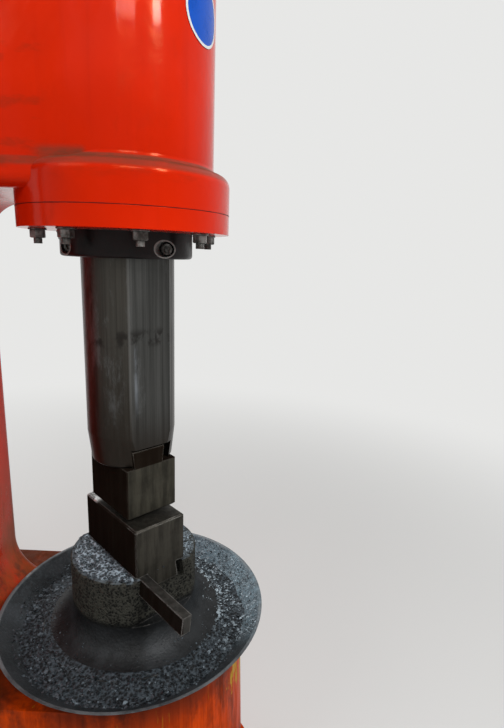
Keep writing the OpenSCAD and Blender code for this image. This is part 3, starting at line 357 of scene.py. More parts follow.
def red_paint(name, base, dark, grime, shoulder=False, foot=False):
    """Machine enamel over cast iron: brush streaks, oily runs, a few chips, dust on its tops and a patchy clear
    coat; with shoulder, grime round the cylinder's flange, and with foot, rust low on the column."""
    look = Look(name, Specular_IOR_Level=0.24, Specular_Tint=(1.0, 0.30, 0.08, 1), Coat_Roughness=0.07)
    z = look.axis("Z")
    coat = look.range(look.spots(9.0, 5.0, 0.6, (1, 1, 0.4), shift=12.0), 0.42, 0.60, 0.03, 0.20)
    coat = look.times(coat, look.range(z, *COAT_Z, 0.3, 1.0))
    broad = look.blotch(2.2, 3.0, 0.6, 0.35, 0.68)
    runs = look.blotch(26.0, 4.0, 0.6, 0.52, 0.72, stretch=(1, 1, 0.045))
    film = look.blotch(9.0, 6.0, 0.65, 0.55, 0.80, stretch=(1, 1, 0.5), shift=3.0)
    colour = look.mix(look.times(broad, 0.6), base, dark)
    colour = look.mix(look.times(runs, 0.25), colour, dark)
    colour = look.mix(look.times(film, grime), colour, (0.050, 0.012, 0.005))
    chips = look.blotch(34.0, 8.0, 0.7, 0.735, 0.76, shift=7.0)
    colour = look.mix(look.times(chips, 0.85), colour, (0.035, 0.022, 0.018))
    rough = look.range(film, 0.0, 1.0, 0.16, 0.42)

    dusty = look.times(look.range(look.facing_up(), 0.6, 0.95), look.range(z, *DUST_Z))
    settled = look.times(dusty, look.blotch(12.0, 7.0, 0.7, 0.36, 0.62, 0.35))
    colour = look.mix(look.times(settled, 0.6), colour, (0.17, 0.075, 0.045))
    rough = look.plus(rough, look.times(dusty, 0.42))
    look.feed("Coat Weight", look.times(coat, look.minus(1.0, dusty)))

    if foot:
        rusty = look.blotch(6.0, 8.0, 0.75, 0.36, 0.58, 0.25, stretch=(1, 1, 0.6), shift=2.0)
        rusty = look.times(look.fall(z, *FOOT_RUST_Z), rusty)
        colour = look.mix(look.times(rusty, 0.85), colour, (0.24, 0.058, 0.012))
        streaks = look.blotch(22.0, 6.0, 0.7, 0.46, 0.66, stretch=(1, 1, 0.12), shift=8.0)
        streaks = look.times(look.fall(z, *FOOT_STREAKS_Z), streaks)
        colour = look.mix(look.times(streaks, 0.7), colour, (0.045, 0.016, 0.008))
        rough = look.plus(rough, look.times(rusty, 0.25))
    if shoulder:
        r = look.radius()
        top = SHOULDER_Z
        ring = look.times(look.band(z, top - 0.007, top + 0.001, top + 0.010, top + 0.025),
            look.band(r, BARREL_R + 0.0005, BARREL_R + 0.0020, FLANGE_R - 0.0130, FLANGE_R + 0.0015))
        edge = look.band(z, top - 0.0130, top - 0.0065, top + 0.001, top + 0.005)
        edge = look.times(edge, look.range(r, FLANGE_R - 0.025, FLANGE_R - 0.019, 0.0, 0.75))
        ring = look.times(look.most(ring, edge), look.blotch(16.0, 7.0, 0.75, 0.34, 0.60, 0.62, stretch=(1, 1, 2.5)))
        colour = look.mix(look.times(ring, 0.82), colour, (0.105, 0.042, 0.024))
        rim = look.times(look.range(z, top - 0.045, top), look.blotch(5.0, 5.0, 0.7, 0.5, 0.62, stretch=(1, 1, 3)))
        rim = look.times(rim, look.range(r, FLANGE_R - 0.017, FLANGE_R - 0.007))
        colour = look.mix(look.times(rim, 0.30), colour, (0.10, 0.02, 0.008))
        rough = look.plus(rough, look.times(ring, 0.25))
    look.feed("Base Color", colour)
    look.feed("Roughness", rough)
    wave = look.plus(look.spots(11.0, 3.0), look.times(look.spots(150.0, 2.0), 0.10))
    look.bump(wave, 0.45, 0.004, 0.002)
    return look.material


def base_paint():
    """Brushed orange-red enamel of the base: stains, painted shade under the tray, a ragged yellow smear on its front
    and rust towards its rear."""
    look = Look("base_paint", Specular_IOR_Level=0.05, Specular_Tint=(1.0, 0.30, 0.04, 1))
    streak = look.blotch(60.0, 5.0, 0.7, 0.38, 0.66, stretch=(1, 1, 0.05))
    broad = look.blotch(3.0, 4.0, 0.6, 0.35, 0.65)
    colour = look.mix(look.times(broad, 0.55), (0.66, 0.062, 0.001), (0.44, 0.036, 0.001))
    colour = look.mix(look.times(streak, 0.55), colour, (0.26, 0.022, 0.003))
    stain = look.blotch(7.0, 7.0, 0.7, 0.50, 0.68, stretch=(1, 1, 0.35), shift=5.0)
    colour = look.mix(look.times(stain, 0.75), colour, (0.030, 0.011, 0.006))
    z, x = look.axis("Z"), look.axis("X")
    # Painted shade under the tray's rim: darker towards the top of the base, in cloudy patches
    darkening = look.times(look.range(z, *UNDER_TRAY_SHADE_Z, 0.0, 0.75), look.blotch(6.0, 5.0, 0.7, 0.32, 0.55))
    colour = look.mix(darkening, colour, (0.025, 0.010, 0.007))

    runs = look.spots(46.0, 5.0, 0.7, (1, 1, 0.05), shift=9.0)
    front = look.plus(x, look.times(look.spots(14.0, 5.0, 0.7, shift=4.0), 0.10))
    level = look.plus(runs, look.times(look.range(z, *SMEAR_Z), 0.30))
    level = look.plus(level, look.range(front, *SMEAR_X, -0.30, 0.0))
    smear = look.range(level, 0.66, 0.76)
    colour = look.mix(look.times(smear, 0.9), colour, (0.42, 0.27, 0.012))
    rust = look.times(look.range(x, *BASE_RUST_X, 0.7, 0.0), look.blotch(5.0, 7.0, 0.7, 0.38, 0.60))
    colour = look.mix(rust, colour, (0.11, 0.028, 0.008))
    look.feed("Base Color", colour)
    look.feed("Roughness", look.range(streak, 0, 1, 0.38, 0.6))
    look.bump(look.plus(look.spots(60.0, 5.0, 0.7, (1, 1, 0.05)), look.spots(12.0, 4.0)), 0.35, 0.003, 0.002)
    return look.material


def ram_steel():
    """Oiled steel rubbed up and down in its guide: dark on the round, greyer on the flats as painted reflection, with
    a painted highlight line along their edge and a painted highlight streak beside it, an oil stain and soot at its
    lower end."""
    look = Look("ram_steel", Metallic=0.85)
    z, across = look.axis("Z"), look.die_axis(True)
    along = look.size(look.die_axis(False))
    fine = look.spots(170.0, 5.0, 0.7, (1, 1, 0.010))
    wide = look.spots(15.0, 3.0, 0.6, (1, 1, 0.03), shift=2.0)
    tone = look.plus(look.times(fine, 0.4), look.times(wide, 0.6))
    # The flats are painted paler than the round: painted reflection, standing in for the brighter light they reflect
    flat = look.range(along, RAM_FLAT - 0.0012, RAM_FLAT - 0.0004)
    round_part = look.mix(look.range(tone, 0.38, 0.64), (0.012, 0.010, 0.008), (0.053, 0.049, 0.042))
    flat_part = look.mix(look.range(tone, 0.38, 0.64), (0.034, 0.034, 0.032), (0.094, 0.094, 0.090))
    colour = look.mix(flat, round_part, flat_part)
    oil = look.blotch(5.0, 6.0, 0.65, 0.48, 0.72, stretch=(1, 1, 0.4), shift=4.0)
    colour = look.mix(look.times(oil, 0.6), colour, (0.024, 0.018, 0.014))
    marks = look.blotch(9.0, 8.0, 0.75, 0.50, 0.66, stretch=(1, 1, 0.30), shift=6.0)
    colour = look.mix(look.times(marks, 0.60), colour, (0.150, 0.155, 0.158))

    stain = look.blotch(34.0, 4.0, 0.6, 0.48, 0.60, stretch=(1, 1, 0.6), shift=2.3)
    stain = look.times(look.band(z, *RAM_STAIN_Z), stain)
    colour = look.mix(look.times(stain, 0.7), colour, (0.010, 0.008, 0.007))
    # Painted highlight: a bright streak beside the flats' edge
    streak = look.times(look.band(across, *RAM_HIGHLIGHT_ACROSS), look.band(z, *RAM_HIGHLIGHT_Z))
    streak = look.times(streak, look.blotch(70.0, 5.0, 0.7, 0.38, 0.58, 0.12, stretch=(1, 1, 0.18), shift=3.0))
    colour = look.mix(look.times(streak, 0.62), colour, (0.24, 0.26, 0.29))
    darkening = look.range(z, UPPER_DIE_TOP + 0.005, look.range(flat, 0.0, 1.0, 1.22, 1.13), 0.85, 0.0)
    colour = look.mix(darkening, colour, (0.019, 0.014, 0.010))
    # Painted highlight: a bright line along the flats' edge
    rubbed = look.band(along, RAM_FLAT - 0.0035, RAM_FLAT - 0.0015, RAM_FLAT - 0.0007, RAM_FLAT - 0.0001)
    rubbed = look.times(rubbed, look.range(z, *RAM_EDGE_HIGHLIGHT_Z))
    colour = look.mix(look.times(rubbed, 0.55), colour, (0.15, 0.15, 0.145))
    look.feed("Base Color", colour)
    look.feed("Roughness", look.range(tone, 0.3, 0.7, 0.26, 0.42))
    look.bump(fine, 0.12, 0.0008, 0.0015)
    return look.material


def forged_steel(name, base, bright, edge, grit, half, worn_ends=0.0, cap=0.0, bare_from=0.0):
    """Dark forged steel, rubbed bright at its edges. Its long sides, which stand half off the middle, and its top
    above the height cap are painted near black and without reflection, as shade. The edges are worn from worn_ends
    along the dovetail, and above bare_from its end that points away from the lever is bruised bare."""
    look = Look(name, Specular_IOR_Level=0.10)
    cloud = look.blotch(16.0, 6.0, 0.65, 0.35, 0.68)
    brushed = look.spots(70.0, 4.0, 0.6, (1, 1, 0.10), shift=1.0)
    colour = look.mix(look.times(cloud, 0.8), base, tuple(v * 0.5 for v in base))
    colour = look.mix(look.range(brushed, 0.40, 0.68, 0.0, 0.50), colour, tuple(v * 2.2 for v in base))
    # Painted shade: the long sides, and with cap the top inside the ram's slot, are near black and lose their
    # reflection
    painted_shade = look.range(look.size(look.die_axis(True)), half - 0.0035, half - 0.0015)
    if cap:
        painted_shade = look.most(painted_shade, look.range(look.axis("Z"), cap - 0.0012, cap - 0.0004))
    colour = look.mix(look.times(painted_shade, 0.9), colour, (0.008, 0.0045, 0.0030))
    worn = look.times(look.edges(0.005), look.blotch(30.0, 5.0, 0.7, 0.40, 0.60, 0.2, shift=6.0))
    if worn_ends:
        ends = look.range(look.size(look.die_axis(False)), worn_ends, worn_ends + 0.03, 0.12, 1.0)
        worn = look.times(worn, ends)
    worn = look.times(worn, edge)
    if bare_from:
        bruise = look.times(look.range(look.die_axis(False), *BRUISE_ALONG),
            look.range(look.axis("Z"), bare_from, bare_from + 0.003))
        bruise = look.times(bruise, look.blotch(60.0, 5.0, 0.7, 0.40, 0.55, 0.15, shift=5.0))
        painted_shade = look.times(painted_shade, look.minus(1.0, bruise))
        colour = look.mix(look.times(bruise, 0.95), colour, (0.66, 0.67, 0.66))
    colour = look.mix(worn, colour, bright)
    look.feed("Base Color", colour)
    look.feed("Metallic", look.range(painted_shade, 0.0, 1.0, 0.7, 0.0))
    look.feed("Specular IOR Level", look.range(painted_shade, 0.0, 1.0, 0.10, 0.0))
    look.feed("Roughness", look.minus(look.range(cloud, 0, 1, 0.40, 0.62), look.times(worn, 0.12)))
    look.bump(look.plus(look.spots(16.0, 6.0, 0.65), look.times(brushed, 0.3)), grit, 0.003, 0.0015)
    return look.material


def anvil_steel():
    """Anvil: pitted scaled column over a smooth oily cove, with pale scale at its top edge."""
    look = Look("anvil_steel", Metallic=0.25, Specular_IOR_Level=0.18)
    z = look.axis("Z")
    column = look.range(z, COVE_TOP - 0.0035, COVE_TOP + 0.0145)
    pits = look.spots(110.0, 8.0, 0.8)
    lumps = look.spots(34.0, 6.0, 0.7, shift=3.0)
    grain = look.plus(look.times(pits, 0.6), look.times(lumps, 0.4))
    grain = look.plus(grain, look.times(look.minus(look.cells(190.0), 0.5), 0.35))
    rough_colour = look.mix(look.range(grain, 0.36, 0.58), (0.0025, 0.0024, 0.0022), (0.052, 0.051, 0.042))
    cove = look.mix(look.blotch(9.0, 6.0, 0.65, 0.40, 0.66), (0.008, 0.0085, 0.009), (0.026, 0.028, 0.030))
    colour = look.mix(column, cove, rough_colour)
    pale = look.times(look.range(z, ANVIL_TOP - 0.0025, ANVIL_TOP - 0.0002), look.blotch(60.0, 6.0, 0.7, 0.38, 0.55))
    colour = look.mix(look.times(pale, 0.55), colour, (0.22, 0.27, 0.31))
    worn = look.times(look.edges(0.004), look.blotch(24.0, 6.0, 0.7, 0.46, 0.62))
    colour = look.mix(look.times(worn, 0.45), colour, (0.16, 0.15, 0.14))
    look.feed("Base Color", colour)
    look.feed("Roughness", look.range(column, 0, 1, 0.42, 0.78))
    look.bump(look.times(grain, look.range(column, 0, 1, 0.12, 1.0)), 0.85, 0.012, 0.002)
    return look.material


def tray_steel():
    """Sheet tray: dark mill scale, blue-grey dust on the slope and a rim rubbed bright."""
    look = Look("tray_steel", Metallic=0.45, Specular_IOR_Level=0.3)
    cloud = look.blotch(8.0, 7.0, 0.7, 0.36, 0.66)
    colour = look.mix(cloud, (0.014, 0.016, 0.018), (0.048, 0.054, 0.060))
    side = look.range(look.far_side(), 0.02, 0.12)
    colour = look.mix(look.times(side, look.blotch(26.0, 7.0, 0.75, 0.40, 0.56, 0.35)), colour, (0.135, 0.192, 0.228))
    dust = look.blotch(120.0, 6.0, 0.8, 0.47, 0.60)
    colour = look.mix(look.times(dust, look.range(side, 0.0, 1.0, 0.08, 0.65)), colour, (0.25, 0.31, 0.35))
    rim = look.range(look.axis("Z"), TRAY_RIM_Z - 0.0025, TRAY_RIM_Z - 0.0001)
    rim = look.times(rim, look.blotch(6.0, 5.0, 0.7, 0.35, 0.6, 0.15))
    colour = look.mix(look.times(rim, 0.70), colour, (0.22, 0.235, 0.245))
    look.feed("Base Color", colour)
    look.feed("Roughness", look.range(cloud, 0, 1, 0.38, 0.6))
    look.bump(look.plus(look.spots(9.0, 4.0), look.times(dust, 0.25)), 0.4, 0.004, 0.0015)
    return look.material


def dark_enamel(name, base, rough, metallic=0.2, worn=0.6, least=0.0, bores=None):
    """Black oily metal with steel showing at its rubbed edges, everywhere at least the least share of it, and round
    the mouths of its bores, given as their distance from the middle, their height and their radius."""
    look = Look(name, Metallic=metallic, Specular_IOR_Level=0.16)
    cloud = look.blotch(20.0, 6.0, 0.65, 0.38, 0.66)
    colour = look.mix(cloud, base, tuple(v * 2.2 + 0.002 for v in base))
    edge = look.times(look.edges(0.003), look.blotch(35.0, 5.0, 0.7, 0.40, 0.60, least))
    colour = look.mix(look.times(edge, worn), colour, (0.22, 0.21, 0.20))
    if bores:
        out, height, r = bores
        away = look.length(look.minus(look.size(look.axis("X")), out), look.minus(look.axis("Z"), height))
        mouth = look.band(away, r - 0.0004, r + 0.0002, r + 0.0018, r + 0.0028)
        colour = look.mix(look.times(mouth, 0.85), colour, (0.26, 0.25, 0.24))
    look.feed("Base Color", colour)
    look.feed("Roughness", look.range(cloud, 0, 1, rough, rough + 0.2))
    look.bump(look.spots(70.0, 5.0, 0.7), 0.25, 0.0015, 0.0015)
    return look.material


def screw_steel():
    """Bolts, nuts and studs: dull grey steel with oil in its corners."""
    look = Look("screw_steel", Metallic=0.9)
    cloud = look.blotch(45.0, 5.0, 0.65, 0.36, 0.66)
    look.feed("Base Color", look.mix(cloud, (0.24, 0.235, 0.225), (0.060, 0.057, 0.052)))
    look.feed("Roughness", look.range(cloud, 0, 1, 0.42, 0.60))
    look.bump(look.spots(135.0, 4.0), 0.15, 0.0008, 0.001)
    return look.material


def turned_iron():
    """Flywheel and pulley: fine rings left by the turning tool."""
    look = Look("turned_iron", Metallic=0.8)
    r = look.length(look.axis("Y"), look.minus(look.axis("Z"), CRANK_Z))
    rings = look.node("ShaderNodeTexNoise", {"W": look.times(r, 900.0), "Scale": 1.0, "Detail": 3.0},
        noise_dimensions='1D').outputs["Fac"]
    cloud = look.spots(9.0, 5.0, 0.6)
    colour = look.mix(look.range(rings, 0.35, 0.65), (0.10, 0.095, 0.09), (0.19, 0.185, 0.18))
    colour = look.mix(look.range(cloud, 0.52, 0.75), colour, (0.07, 0.035, 0.02))
    look.feed("Base Color", colour)
    look.feed("Roughness", look.range(cloud, 0.3, 0.7, 0.35, 0.6))
    look.bump(rings, 0.12, 0.0006, 0.0015)
    return look.material


def belt_rubber():
    """Black rubber belts with a fabric back and dust from running."""
    look = Look("belt_rubber", Specular_IOR_Level=0.3)
    weave = look.node("ShaderNodeTexWave", {"Vector": look.place, "Scale": 180.0, "Distortion": 0.6},
        bands_direction='Z').outputs["Fac"]
    dust = look.blotch(14.0, 5.0, 0.7, 0.45, 0.70)
    look.feed("Base Color", look.mix(look.times(dust, 0.6), (0.018, 0.018, 0.018), (0.075, 0.070, 0.062)))
    look.feed("Roughness", look.range(dust, 0, 1, 0.62, 0.85))
    look.bump(weave, 0.25, 0.0006)
    return look.material


def motor_paint():
    """Grey motor enamel, dusty on top, with an orange-peel surface."""
    look = Look("motor_paint", Specular_IOR_Level=0.4)
    cloud = look.blotch(6.0, 5.0, 0.65, 0.36, 0.68)
    colour = look.mix(cloud, (0.105, 0.135, 0.150), (0.165, 0.195, 0.205))
    dust = look.times(look.range(look.facing_up(), 0.3, 0.9), look.blotch(18.0, 6.0, 0.7, 0.35, 0.62))
    colour = look.mix(look.times(dust, 0.55), colour, (0.20, 0.17, 0.13))
    look.feed("Base Color", colour)
    look.feed("Roughness", look.range(cloud, 0, 1, 0.34, 0.52))
    look.bump(look.spots(160.0, 3.0), 0.2, 0.0008, 0.0015)
    return look.material


def scale_grit(name, dark, pale):
    """Bank of loose forging scale, blue-grey in grains from dark to pale."""
    look = Look(name, Metallic=0.3, Specular_IOR_Level=0.3)
    grain = look.spots(210.0, 6.0, 0.8)
    tone = look.plus(look.times(grain, 0.6), look.times(look.cells(150.0), 0.55))
    colour = look.mix(look.range(tone, 0.44, 0.80), dark, pale)
    look.feed("Base Color", colour)
    look.feed("Roughness", look.range(grain, 0.3, 0.7, 0.38, 0.7))
    look.bump(tone, 0.9, 0.004)
    return look.material


def scale_flake():
    """Single flakes of scale, paler on the side away from the lever."""
    look = Look("scale_flake", Metallic=0.6)
    tone = look.spots(70.0, 5.0, 0.8)
    pale = look.mix(look.range(look.far_side(), -0.02, 0.12), (0.100, 0.124, 0.145), (0.36, 0.43, 0.48))
    look.feed("Base Color", look.mix(look.range(tone, 0.38, 0.64), (0.010, 0.013, 0.016), pale))
    look.feed("Roughness", look.range(tone, 0.3, 0.7, 0.30, 0.55))
    look.bump(tone, 0.4, 0.001)
    return look.material


def sign_paint(name, base):
    """Glossy enamel of the round plate, a little dirty."""
    look = Look(name, Specular_IOR_Level=0.15)
    dirt = look.blotch(40.0, 6.0, 0.7, 0.50, 0.72)
    look.feed("Base Color", look.mix(look.times(dirt, 0.35), base, tuple(v * 0.5 for v in base)))
    look.feed("Roughness", look.range(dirt, 0, 1, 0.22, 0.5))
    look.bump(look.spots(90.0, 2.0), 0.08, 0.0004)
    return look.material


LOOKS = {
    "body": red_paint("body_red", RED, RED_DARK, grime=0.35),
    "column": red_paint("column_red", RED, RED_DARK, grime=0.35, foot=True),
    "cylinder": red_paint("cylinder_red", RED, RED_DARK, grime=0.20, shoulder=True),
    "cover": red_paint("cover_red", (0.52, 0.013, 0.002), (0.33, 0.008, 0.002), grime=0.50),
    "base": base_paint(),
    "ram": ram_steel(),
    "upper_die": forged_steel("upper_die_steel", (0.038, 0.035, 0.027), (0.16, 0.15, 0.13),
        edge=0.40, grit=0.30, half=0.058, cap=UPPER_DIE_TOP),
    "lower_die": forged_steel("lower_die_steel", (0.036, 0.033, 0.027), (0.34, 0.33, 0.31),
        edge=0.85, grit=0.35, half=0.059, worn_ends=0.062, bare_from=LOWER_DIE_TOP - 0.005),
    "key": forged_steel("key_steel", (0.046, 0.044, 0.040), (0.22, 0.21, 0.20), edge=0.8, grit=0.30, half=0.0545),
    "anvil": anvil_steel(),
    "tray": tray_steel(),
    "gland": dark_enamel("gland_black", (0.005, 0.0032, 0.0032),
        rough=0.30, metallic=0.05, worn=0.75, least=0.6, bores=SOCKETS),
    "packing": dark_enamel("packing_black", (0.004, 0.003, 0.003), rough=0.6, metallic=0.0, worn=0.0),
    "black": dark_enamel("oily_black", (0.014, 0.0135, 0.013), rough=0.42),
    "screw": screw_steel(),
    "iron": turned_iron(),
    "rubber": belt_rubber(),
    "motor": motor_paint(),
    "grit": scale_grit("scale_grit", (0.004, 0.005, 0.006), (0.060, 0.076, 0.090)),
    "pale_grit": scale_grit("pale_scale", (0.030, 0.038, 0.045), (0.40, 0.49, 0.56)),
    "flake": scale_flake(),
    "blue": sign_paint("sign_blue", (0.002, 0.078, 0.48)),
    "white": sign_paint("sign_white", (0.70, 0.72, 0.72)),
}
NODE_LOOKS = {
    "column": ["frame"],
    "body": ["ram_guide", "belt_guard"],
    "cylinder": ["work_cylinder"],
    "cover": ["cylinder_head", "compressor_head", "upper_valve_near", "lower_valve_near", "upper_valve_far",
        "lower_valve_far", "crank_door_near", "crank_door_far", "bearing_cap"],
    "base": ["base"],
    "ram": ["ram"],
    "upper_die": ["upper_die"],
    "lower_die": ["lower_die"],
    "key": ["lower_key", "upper_key", "lower_packing"],
    "anvil": ["anvil"],
    "tray": ["scale_tray"],
    "gland": ["gland_near", "gland_far"],
    "black": ["control_lever", "link_rod", "treadle", "treadle_brackets", "motor_rails", "lifting_eyes"],
    "screw": ["gland_screws", "guide_studs", "crankshaft"],
    "iron": ["flywheel", "motor_pulley"],
    "rubber": ["belts"],
    "motor": ["motor", "terminal_box"],
}


def dress_nodes():
    """Give each node of the frame its look."""
    for look, nodes in NODE_LOOKS.items():
        for name in nodes:
            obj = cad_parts[name]
            for slot in obj.material_slots:
                slot.material = LOOKS[look]
            if not obj.material_slots:
                obj.data.materials.append(LOOKS[look])


def add_piece(name, bm, look, body="machine", smooth=False):
    """Make a piece of the mesh that rides on a body, with the material of the given look."""
    mesh = bpy.data.meshes.new(name)
    bmesh.ops.recalc_face_normals(bm, faces=bm.faces)
    bm.to_mesh(mesh)
    bm.free()
    mesh.materials.append(LOOKS[look])
    if smooth:
        mesh.shade_smooth()
    obj = link(bpy.data.objects.new(name, mesh))
    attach(obj, body)
    return obj


def polar(r, a):
    """X and Y at radius r and angle a."""
    return r * math.cos(a), r * math.sin(a)


def ring_noise(a, scale, layer):
    """Noise that closes on itself round the axis; scale is how fast it changes with the angle."""
    return noise.noise(Vector((*polar(scale, a), layer)))


def skin(bm, rows, closed=False):
    """Faces between neighbouring rows, each a ring of vertices; closed joins the last row to the first."""
    for row, above in zip(rows, rows[1:] + rows[:1] if closed else rows[1:]):
        for i in range(len(row)):
            j = (i + 1) % len(row)
            bm.faces.new((row[i], row[j], above[j], above[i]))


def place(at, axis):
    """Matrix that turns local Z to the axis and moves to the place."""
    return Matrix.Translation(at) @ Vector(axis).to_track_quat('Z', 'Y').to_matrix().to_4x4()


def turned(bm, matrix, outline, sides):
    """Solid of revolution round local Z; outline is a list of (radius, height) from the axis back to it."""
    rings = []
    for radius, height in outline:
        if radius < 1e-7:
            rings.append([bm.verts.new(matrix @ Vector((0, 0, height)))])
        else:
            rings.append([bm.verts.new(matrix @ Vector((*polar(radius, 2 * math.pi * i / sides), height)))
                for i in range(sides)])
    for low, high in zip(rings, rings[1:]):
        for i in range(sides):
            j = (i + 1) % sides
            if len(low) == 1:
                bm.faces.new((low[0], high[j], high[i]))
            elif len(high) == 1:
                bm.faces.new((low[i], low[j], high[0]))
            else:
                bm.faces.new((low[i], low[j], high[j], high[i]))


def hex_bolt(bm, at, axis, across, turn=0.0, stud=0.0):
    """Washer, chamfered hexagon and, with stud, the threaded end that stands out of a nut."""
    matrix = place(at, axis) @ Matrix.Rotation(turn, 4, 'Z')
    r = across / 2 / math.cos(math.pi / 6)
    high = 0.72 * across
    base = 0.12 * across
    washer = [(0, 0), (1.12 * r, 0), (1.16 * r, 0.3 * base), (1.16 * r, 0.8 * base), (1.10 * r, base), (0, base)]
    turned(bm, matrix, washer, 20)
    head = [(0, base), (0.93 * r, base), (r, base + 0.07 * r), (r, high - 0.10 * r), (0.86 * r, high), (0, high)]
    turned(bm, matrix, head, 6)
    if stud:
        thread_r = 0.33 * across
        steps = 5
        outline = [(0, high - 0.001), (thread_r, high - 0.001)]
        for i in range(steps):
            z = high + stud * (i + 0.5) / steps
            outline += [(thread_r * 0.90, z - stud * 0.20 / steps), (thread_r, z + stud * 0.25 / steps)]
        outline += [(thread_r * 0.86, high + stud), (0, high + stud)]
        turned(bm, matrix, outline, 16)


def ring_of_bolts(name, centre, axis, radius, count, across, start=0.0, stud=0.0):
    """Bolts, or nuts on studs, in a circle round the axis, as one piece."""
    bm = bmesh.new()
    turn = Vector(axis).to_track_quat('Z', 'Y').to_matrix()
    for i in range(count):
        at = Vector(centre) + turn @ Vector((*polar(radius, start + 2 * math.pi * i / count), 0))
        hex_bolt(bm, at, axis, across, turn=i * 1.7, stud=stud)
    return add_piece(name, bm, "screw")


def middle(node):
    """Middle, low corner and high corner of a node's box."""
    low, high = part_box(node)
    return [(low[i] + high[i]) / 2 for i in range(3)], low, high


def add_fasteners():
    """Nuts under the guide ring, which stand for the studs' node, and bolts on the covers, motor and rails."""
    _, low, _ = middle("ram_guide")
    studs = ring_of_bolts("guide_nuts", (0, 0, low[2]), DOWN, STUD_CIRCLE_R, STUD_COUNT, 3 * STUD_R,
        math.pi / STUD_COUNT, stud=STUD_OUT)
    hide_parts("guide_studs")
    for name, circle in HEAD_CIRCLES.items():
        centre, low, _ = middle(name)
        ring_of_bolts(name + "_bolts", (centre[0], centre[1], low[2] + HEAD_FLANGE_T), UP, circle, 8, 0.030)
    for names, proud, circle, count, across in (
            (("upper_valve", "lower_valve"), VALVE_PROUD, VALVE_R - 0.017, 6, 0.018),
            (("crank_door",), DOOR_PROUD, DOOR_R - 0.020, 10, 0.024)):
        for end, side in (("_near", -1), ("_far", 1)):
            for name in names:
                centre, low, high = middle(name + end)
                face = low[1] + proud if side < 0 else high[1] - proud
                ring_of_bolts(name + end + "_bolts", (centre[0], face, centre[2]), (0, side, 0), circle, count,
                    across, math.pi / count)
    centre, low, _ = middle("bearing_cap")
    ring_of_bolts("bearing_bolts", (low[0] + BEARING_PROUD, 0, centre[2]), (-1, 0, 0), BEARING_R - 0.018, 8, 0.024,
        math.pi / 8)
    _, low, high = middle("motor_rails")
    bm = bmesh.new()
    for x in (low[0] + 0.025, high[0] - 0.025):
        for side in (-1, 1):
            hex_bolt(bm, (x, side * FOOT_BOLT_Y, high[2] + FOOT_T), UP, 0.022)
            hex_bolt(bm, (x, side * RAIL_BOLT_Y, high[2] - RAIL_END_DROP), UP, 0.020)
    add_piece("motor_bolts", bm, "screw")


def add_seam():
    """Dark line of packing squeezed between the guide ring and the cylinder's flange."""
    _, low, _ = middle("work_cylinder")
    bm = bmesh.new()
    steps = 160
    outline = [(-0.0008, -0.0007), (0.0003, -0.0004), (0.0003, 0.0004), (-0.0008, 0.0007)]
    rows = []
    for i in range(steps):
        a = 2 * math.pi * i / steps
        wander = 0.0004 * ring_noise(a, 9, 0)
        rows.append([bm.verts.new((*polar(FLANGE_R + dr + wander, a), low[2] + dz)) for dr, dz in outline])
    skin(bm, rows, closed=True)
    add_piece("flange_packing", bm, "packing", smooth=True)


def add_sign():
    """Plain round plate bent to the barrel: blue with a white rim, nothing on it."""
    turns, rings = 64, 10
    for name, inner, outer, proud, look in (
            ("plate_blue", 0.0, SIGN_R - 0.004, 0.0010, "blue"),
            ("plate_rim", SIGN_R - 0.0045, SIGN_R, 0.0012, "white")):
        bm = bmesh.new()
        rows = []
        for k in range(rings + 1):
            r = inner + (outer - inner) * k / rings
            row = []
            for i in range(turns):
                x, y = polar(r, 2 * math.pi * i / turns)
                row.append(bm.verts.new((*polar(BARREL_R + proud, SIGN_TURN + x / BARREL_R), SIGN_Z + y)))
            rows.append(row)
        skin(bm, rows)
        bmesh.ops.remove_doubles(bm, verts=bm.verts, dist=1e-6)
        add_piece(name, bm, look, smooth=True)


def tray_floor(r):
    """Height of the tray's floor and slope at radius r."""
    return TRAY_FLOOR_Z + max(0.0, r - TRAY_FLOOR_R) * TRAY_SLOPE


def grit_height(r, a):
    """Top of the loose scale in the tray at radius r and angle a."""
    x, y = polar(r, a)
    lumps = 0.0034 * noise.fractal(Vector((x * 22, y * 22, 0)), 0.8, 2.1, 5)
    bank = 0.010 * (0.5 + 0.5 * ring_noise(a, 1.6, 4.0))
    share = (r - LEDGE_R) / (BANK_END_R - LEDGE_R)
    level = LEDGE_Z - 0.006 - 0.008 * math.sin(math.pi * min(1, max(0, share)))
    return level + bank * (1 - 0.4 * share) + lumps


def cove_height(r):
    """Height of the anvil's cove at radius r."""
    cove = LEDGE_R - ANVIL_R
    return LEDGE_Z + cove - math.sqrt(max(0.0, cove ** 2 - (LEDGE_R - r) ** 2))


def add_bank():
    """Bank of forging scale in the tray, tucked into the anvil's cove on one side and the slope on the other."""
    bm = bmesh.new()
    turns, rings = 220, 18
    rows = []
    for k in range(rings + 1):
        row = []
        for i in range(turns):
            a = 2 * math.pi * i / turns
            facing = 0.5 + 0.5 * math.cos(a + 2.0)
            outer = BANK_R + BANK_SPREAD * ring_noise(a, 3, 1) + BANK_SPREAD * (1 - facing)
            inner = LEDGE_R - 0.004 - 0.020 * facing ** 2
            r = inner + (outer - inner) * (k / rings)
            floor = tray_floor(r) - 0.0004
            z = floor if k == rings else max(floor, grit_height(r, a))
            if k == 0:
                z = cove_height(r) - 0.001
            elif r < LEDGE_R:
                z = max(z, cove_height(r) + 0.0012 * facing)
            row.append(bm.verts.new((*polar(r, a), z)))
        rows.append(row)
    skin(bm, rows)
    add_piece("scale_bank", bm, "grit", smooth=True)


def die_place(u, v):
    """Place of a point that is given across the dies and along them."""
    c, s = math.cos(DIE_TURN), math.sin(DIE_TURN)
    return c * u - s * v, s * u + c * v


def beside_die(u, v, inset):
    """Whether a point lies on the anvil's top, this far in from its round, and clear of the lower die."""
    on_top = math.hypot(u, v) <= ANVIL_R - inset and abs(v) <= ANVIL_FLAT - SCALE_INSET
    return on_top and not (abs(u) < DIE_HALF[0] and abs(v) < DIE_HALF[1])


